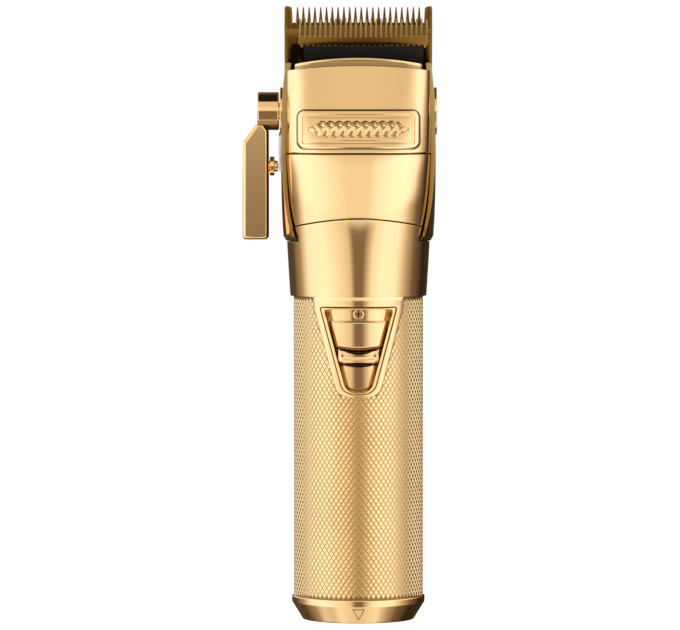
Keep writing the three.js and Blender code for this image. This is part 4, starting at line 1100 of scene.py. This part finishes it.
# Blades, drawn in their own frame: X across, N out of the skin side, S up to the tips from 0
bladeTilt, tipY, tipZ = math.radians(15.0), 1.0, 179.8


def fromBlade(points):
    points = np.asarray(points, dtype=float)
    x, n, s = points[..., 0], points[..., 1], points[..., 2]
    level, steep = math.cos(bladeTilt), math.sin(bladeTilt)
    return np.stack([x, tipY + n * level - s * steep, tipZ + n * steep + s * level], axis=-1)


def toWorldFrame(piece):
    co = np.array([v.co for v in piece.data.vertices]) / mm
    for vertex, place in zip(piece.data.vertices, fromBlade(co) * mm):
        vertex.co = place
    piece.data.update()
    return piece


def makeTeethTree():
    tree, inlet, outlet = geometryTree(
        "teethRow", {"Count": 22, "Pitch": 0.0017, "Shift": 0.0},
        [("Tooth", "NodeSocketObject"), ("Finish", "NodeSocketMaterial")],
    )
    get = inlet.outputs
    first = doMath(tree, "MULTIPLY", doMath(tree, "SUBTRACT", get["Count"], 1.0), -0.5)
    left = doMath(tree, "ADD", doMath(tree, "MULTIPLY", first, get["Pitch"]), get["Shift"])
    start, step = (addNode(tree, "ShaderNodeCombineXYZ", {0: x}).outputs[0] for x in (left, get["Pitch"]))
    row = addNode(
        tree, "GeometryNodeMeshLine", {"Count": get["Count"], "Start Location": start, "Offset": step},
    )
    return addCopies(tree, inlet, outlet, row.outputs[0], "Tooth", {})


teethTree = makeTeethTree()


def addTeeth(piece, tooth, count, pitch, finish, shift=0.0):
    setInputs(piece, teethTree, {
        "Count": count, "Pitch": pitch * mm, "Shift": shift * mm, "Tooth": tooth, "Finish": finishes[finish],
    })
    bakeModifiers(piece, 30.0)
    bpy.data.objects.remove(tooth)
    return piece


def loftPiece(name, sections, finish, smoothAngle=30.0):
    # sections along S, each a loop of (x, n) points of the same count
    count = len(sections[0][1])
    points = [(x, n, s) for s, loop in sections for x, n in loop]
    faces = [tuple(range(count)), tuple(range(len(points) - 1, len(points) - count - 1, -1))]
    for k in range(len(sections) - 1):
        for i in range(count):
            j = (i + 1) % count
            faces.append((k * count + i, k * count + j, (k + 1) * count + j, (k + 1) * count + i))
    return makePiece(name, points, faces, finish, smoothAngle)


fixed = {
    "half": 21.75, "length": 27.0, "thick": 2.6, "root": -5.5, "teeth": 22, "pitch": 1.702,
    "cornerWidth": 2.45,
}


def toothLoop(half, frontN, rearN, ridge=0.0):
    # an eight-sided section whose corners are eased by the ridge
    front = [(-half, frontN + ridge), (-half * 0.45, frontN), (half * 0.45, frontN), (half, frontN + ridge)]
    return front + [(half, rearN - ridge), (half * 0.5, rearN), (-half * 0.5, rearN), (-half, rearN - ridge)]


def toothLoft(name, rows, finish):
    # rows of S, half width, front, rear and ridge, from the root to the tip
    return loftPiece(name, [(s, toothLoop(*row)) for s, *row in rows], finish)


def cornerTooth(side):
    half, thick = fixed["cornerWidth"] / 2, fixed["thick"]
    rows = [
        (-6.9, 1.0, 0.0, thick), (-5.2, 0.98, 0.02, thick - 0.5), (-2.0, 0.93, 0.3, thick - 1.2),
        (-0.55, 0.88, 0.45, 1.15), (-0.12, 0.68, 0.5, 1.0), (0.1, 0.4, 0.55, 0.9),
    ]
    sections = []
    for s, grow, frontN, rearN in rows:
        shift = side * (fixed["half"] - half + half * (1 - grow) * 0.55)
        sections.append((s, [(x + shift, n) for x, n in toothLoop(half * grow, frontN, rearN, 0.12)]))
    return loftPiece("cornerTooth", sections, "blade_gold")


def fixedBladePiece():
    f, thick = fixed, fixed["thick"]
    low, high = (-f["half"], 0, -f["length"]), (f["half"], thick, -6.4)
    trough = boxPiece("trough", (-19.6, -1, -40), (19.6, 1.2, -11.1), "blade_gold")
    ledge = boxPiece("ledge", (-40, -1, -40), (40, 0.8, -15.3), "blade_gold")
    bore = [(0, -2), (1.4, -2), (1.4, 1.5), (2.4, 1.5), (2.4, 6), (0, 6)]
    holes = [spun("hole", bore, "blade_gold", 40, "Y", (x, 0, -23)) for x in (-14, 14)]
    body = cutBy(boxPiece("fixedBladeLook", low, high, "blade_gold"), [trough, ledge, *holes])
    body = bevelled(body, 0.14, 2, 40.0)
    # the strip between the plate and the tooth roots thins towards the tips
    strip = toothLoft("strip", [
        (-6.7, f["half"] - 0.02, 0.01, thick - 0.02), (f["root"] + 0.35, 19.2, 0.03, thick - 0.55),
    ], "blade_gold")
    body = joined(body, strip, cornerTooth(-1), cornerTooth(1))
    tooth = toothLoft("toothShape", [
        (-7.4, 0.80, 0.06, thick - 0.35, 0.1), (-5.5, 0.72, 0.04, thick - 0.7, 0.15),
        (-4.6, 0.56, 0.08, 1.7, 0.2), (-2.4, 0.36, 0.18, 1.25, 0.18), (-0.5, 0.19, 0.3, 0.9, 0.1),
        (0.0, 0.07, 0.42, 0.7, 0.04),
    ], "blade_gold")
    return addTeeth(body, tooth, f["teeth"], f["pitch"], "blade_gold")


fixedBlade = toWorldFrame(fixedBladePiece())
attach(fixedBlade, "blade_set")
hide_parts("fixed_blade")

cutter = {
    "half": 19.15, "shift": 1.5, "count": 26, "pitch": 1.486, "tip": -3.3, "ribEnd": -8.1, "foot": -10.9,
    "face": -2.2, "back": -0.3, "notches": 23, "notchPitch": 1.63,
}


def cutterPiece():
    c = cutter
    low, high = (-c["half"], c["face"] + 0.15, c["foot"]), (c["half"], c["back"], c["ribEnd"] + 0.25)
    body = bevelled(boxPiece("cutterBladeLook", low, high, "blade_gold"), 0.22, 2)
    side = c["half"] - 0.1
    web = loftPiece("web", [
        (s, [(-side, front), (side, front), (side, c["back"]), (-side, c["back"])])
        for s, front in ((c["ribEnd"], -1.75), (-5.1, -1.0))
    ], "blade_gold")
    rib = toothLoft("ribShape", [
        (c["ribEnd"] - 0.5, 0.36, -2.18, -0.35, 0.12), (c["ribEnd"] + 0.3, 0.3, c["face"], -0.35, 0.16),
        (-5.4, 0.27, -1.8, -0.35, 0.14), (-3.9, 0.23, -1.2, -0.35, 0.12),
        (c["tip"], 0.12, -0.75, -0.38, 0.05),
    ], "cutter_gold")
    body = addTeeth(joined(body, web), rib, c["count"], c["pitch"], "cutter_gold")
    notch = toothLoft("notchShape", [
        (c["foot"] + 0.3, 0.62, -1.95, -1.2, 0.1), (c["foot"] - 0.35, 0.5, -1.95, -1.2, 0.1),
        (c["foot"] - 0.85, 0.22, -1.85, -1.3, 0.08),
    ], "cutter_gold")
    body = addTeeth(body, notch, c["notches"], c["notchPitch"], "cutter_gold")
    body.data.transform(Matrix.Translation((c["shift"] * mm, 0, 0)))
    return body


cutterBlade = toWorldFrame(cutterPiece())
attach(cutterBlade, "cutter")
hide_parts("cutter_blade")
print("blades made")

# Floor, light and camera
# metres and degrees
stage = {
    "floorSize": 6.0, "floorColor": (0.93, 0.93, 0.93, 1.0), "white": (1.0, 1.0, 1.0, 1.0), "sensor": 36.0,
    "cameraX": -0.0054, "cameraZ": 0.0894, "distance": 1.4, "cameraRise": 2.1, "pictureWidth": 0.2,
}

# The room as the gold mirrors it: degrees to the right of straight ahead, then brightness.
# Each band above the first fades in between two heights, given as the sine of a direction's rise.
sky = {
    "floor": [
        (-180, 0.05), (-120, 0.1), (-92, 0.45), (-60, 1.1), (-30, 0.95), (0, 0.85), (30, 0.95), (60, 1.1),
        (85, 0.45), (110, 0.1), (180, 0.04),
    ],
    "low": [
        (-180, 0.08), (-134, 0.10), (-111, 0.42), (-88, 1.25), (-56, 1.32), (-30, 1.08), (-13, 0.85),
        (-6, 0.25), (6, 0.24), (13, 0.66), (21, 1.1), (36, 1.32), (62, 1.25), (83, 0.62), (101, 0.2),
        (129, 0.03), (180, 0.06),
    ],
    "level": [
        (-180, 0.25), (-160, 0.8), (-138, 1.2), (-110, 1.38), (-64, 1.38), (-36, 1.25), (-15, 1.08),
        (-7, 1.0), (7, 1.0), (13, 1.2), (34, 1.34), (60, 1.4), (92, 1.3), (112, 0.7), (128, 0.25),
        (144, 0.03), (180, 0.05),
    ],
    "high": [
        (-180, 0.1), (-150, 0.5), (-120, 1.08), (-70, 0.95), (-30, 0.82), (0, 0.85), (30, 0.8), (60, 0.98),
        (90, 1.15), (130, 1.2), (150, 0.3), (180, 0.08),
    ],
    "top": [(-180, 0.02), (180, 0.02)],
    "lowFrom": (-0.88, -0.76), "levelFrom": (-0.03, 0.06), "highFrom": (0.3, 0.52), "topFrom": (0.82, 0.88),
}


def makeFloor():
    half = stage["floorSize"] / 2
    mesh = bpy.data.meshes.new("floor")
    corners = [(-half, -half, 0), (half, -half, 0), (half, half, 0), (-half, half, 0)]
    mesh.from_pydata(corners, [], [(0, 1, 2, 3)])
    floor = bpy.data.objects.new("floor", mesh)
    bpy.context.scene.collection.objects.link(floor)
    material = bpy.data.materials.new("floorPaper")
    material.use_nodes = True
    setSockets(material.node_tree, material.node_tree.nodes["Principled BSDF"], {
        "Base Color": stage["floorColor"], "Roughness": 0.7, "Emission Color": stage["white"],
        "Emission Strength": 0.55,
    })
    mesh.materials.append(material)
    floor.visible_glossy = False  # mirror gold would show the whole sheet


def makeWorld():
    world = bpy.data.worlds.new("studio")
    bpy.context.scene.world = world
    world.use_nodes = True
    tree = world.node_tree
    tree.nodes.clear()
    toward = addNode(tree, "ShaderNodeTexCoord").outputs["Generated"]
    x, y, z = addNode(tree, "ShaderNodeSeparateXYZ", {0: toward}).outputs
    around = doMath(tree, "ARCTAN2", x, doMath(tree, "MULTIPLY", y, -1.0))
    turn = doMath(tree, "ADD", doMath(tree, "MULTIPLY", around, 1 / (2 * math.pi)), 0.5)

    def mix(share, first, second):
        return addNode(tree, "ShaderNodeMix", {0: share, 6: first, 7: second}, data_type="RGBA").outputs[2]

    def ramp(stops):
        node = addNode(tree, "ShaderNodeValToRGB", {"Fac": turn})
        while len(node.color_ramp.elements) < len(stops):
            node.color_ramp.elements.new(0.5)
        for element, (degrees, value) in zip(node.color_ramp.elements, stops):
            warm = 0.74 + 0.26 * min(value, 1.0)  # the dim parts of the room are brown
            over = max(value - 1.0, 0.0)  # and the brightest are nearer white
            green, blue = warm * (1 + 0.27 * over), warm**2 * (1 + 0.85 * over)
            element.position = 0.5 + degrees / 360
            element.color = (value, value * green, value * blue, 1.0)
        return node.outputs["Color"]

    color = ramp(sky["floor"])
    for name in ("low", "level", "high", "top"):
        start, end = sky[name + "From"]
        between = {"Value": z, "From Min": start, "From Max": end}
        rise = addNode(tree, "ShaderNodeMapRange", between, interpolation_type="SMOOTHSTEP")
        color = mix(rise.outputs["Result"], color, ramp(sky[name]))
    seen = mix(addNode(tree, "ShaderNodeLightPath").outputs["Is Camera Ray"], color, stage["white"])
    back = addNode(tree, "ShaderNodeBackground", {"Color": seen})
    addNode(tree, "ShaderNodeOutputWorld", {"Surface": back.outputs[0]})


def makeSoftLight(name, place, power, size):
    light = bpy.data.lights.new(name, "AREA")
    light.shape, light.size, light.energy = "DISK", size, power
    lamp = bpy.data.objects.new(name, light)
    bpy.context.scene.collection.objects.link(lamp)
    lamp.location = place
    lamp.visible_camera = lamp.visible_glossy = False


def makeCamera():
    data = bpy.data.cameras.new("camera")
    data.sensor_width = stage["sensor"]
    data.lens = stage["sensor"] * stage["distance"] / stage["pictureWidth"]
    camera = bpy.data.objects.new("camera", data)
    bpy.context.scene.collection.objects.link(camera)
    rise, away = math.radians(stage["cameraRise"]), stage["distance"]
    camera.location = (stage["cameraX"], -away * math.cos(rise), stage["cameraZ"] + away * math.sin(rise))
    camera.rotation_euler = (math.pi / 2 - rise, 0, 0)
    bpy.context.scene.camera = camera


makeFloor()
makeWorld()
makeSoftLight("overhead", (0, -0.2, 1.6), 14.0, 1.2)
makeCamera()
bpy.context.scene.view_settings.view_transform = "Standard"
print("stage made")
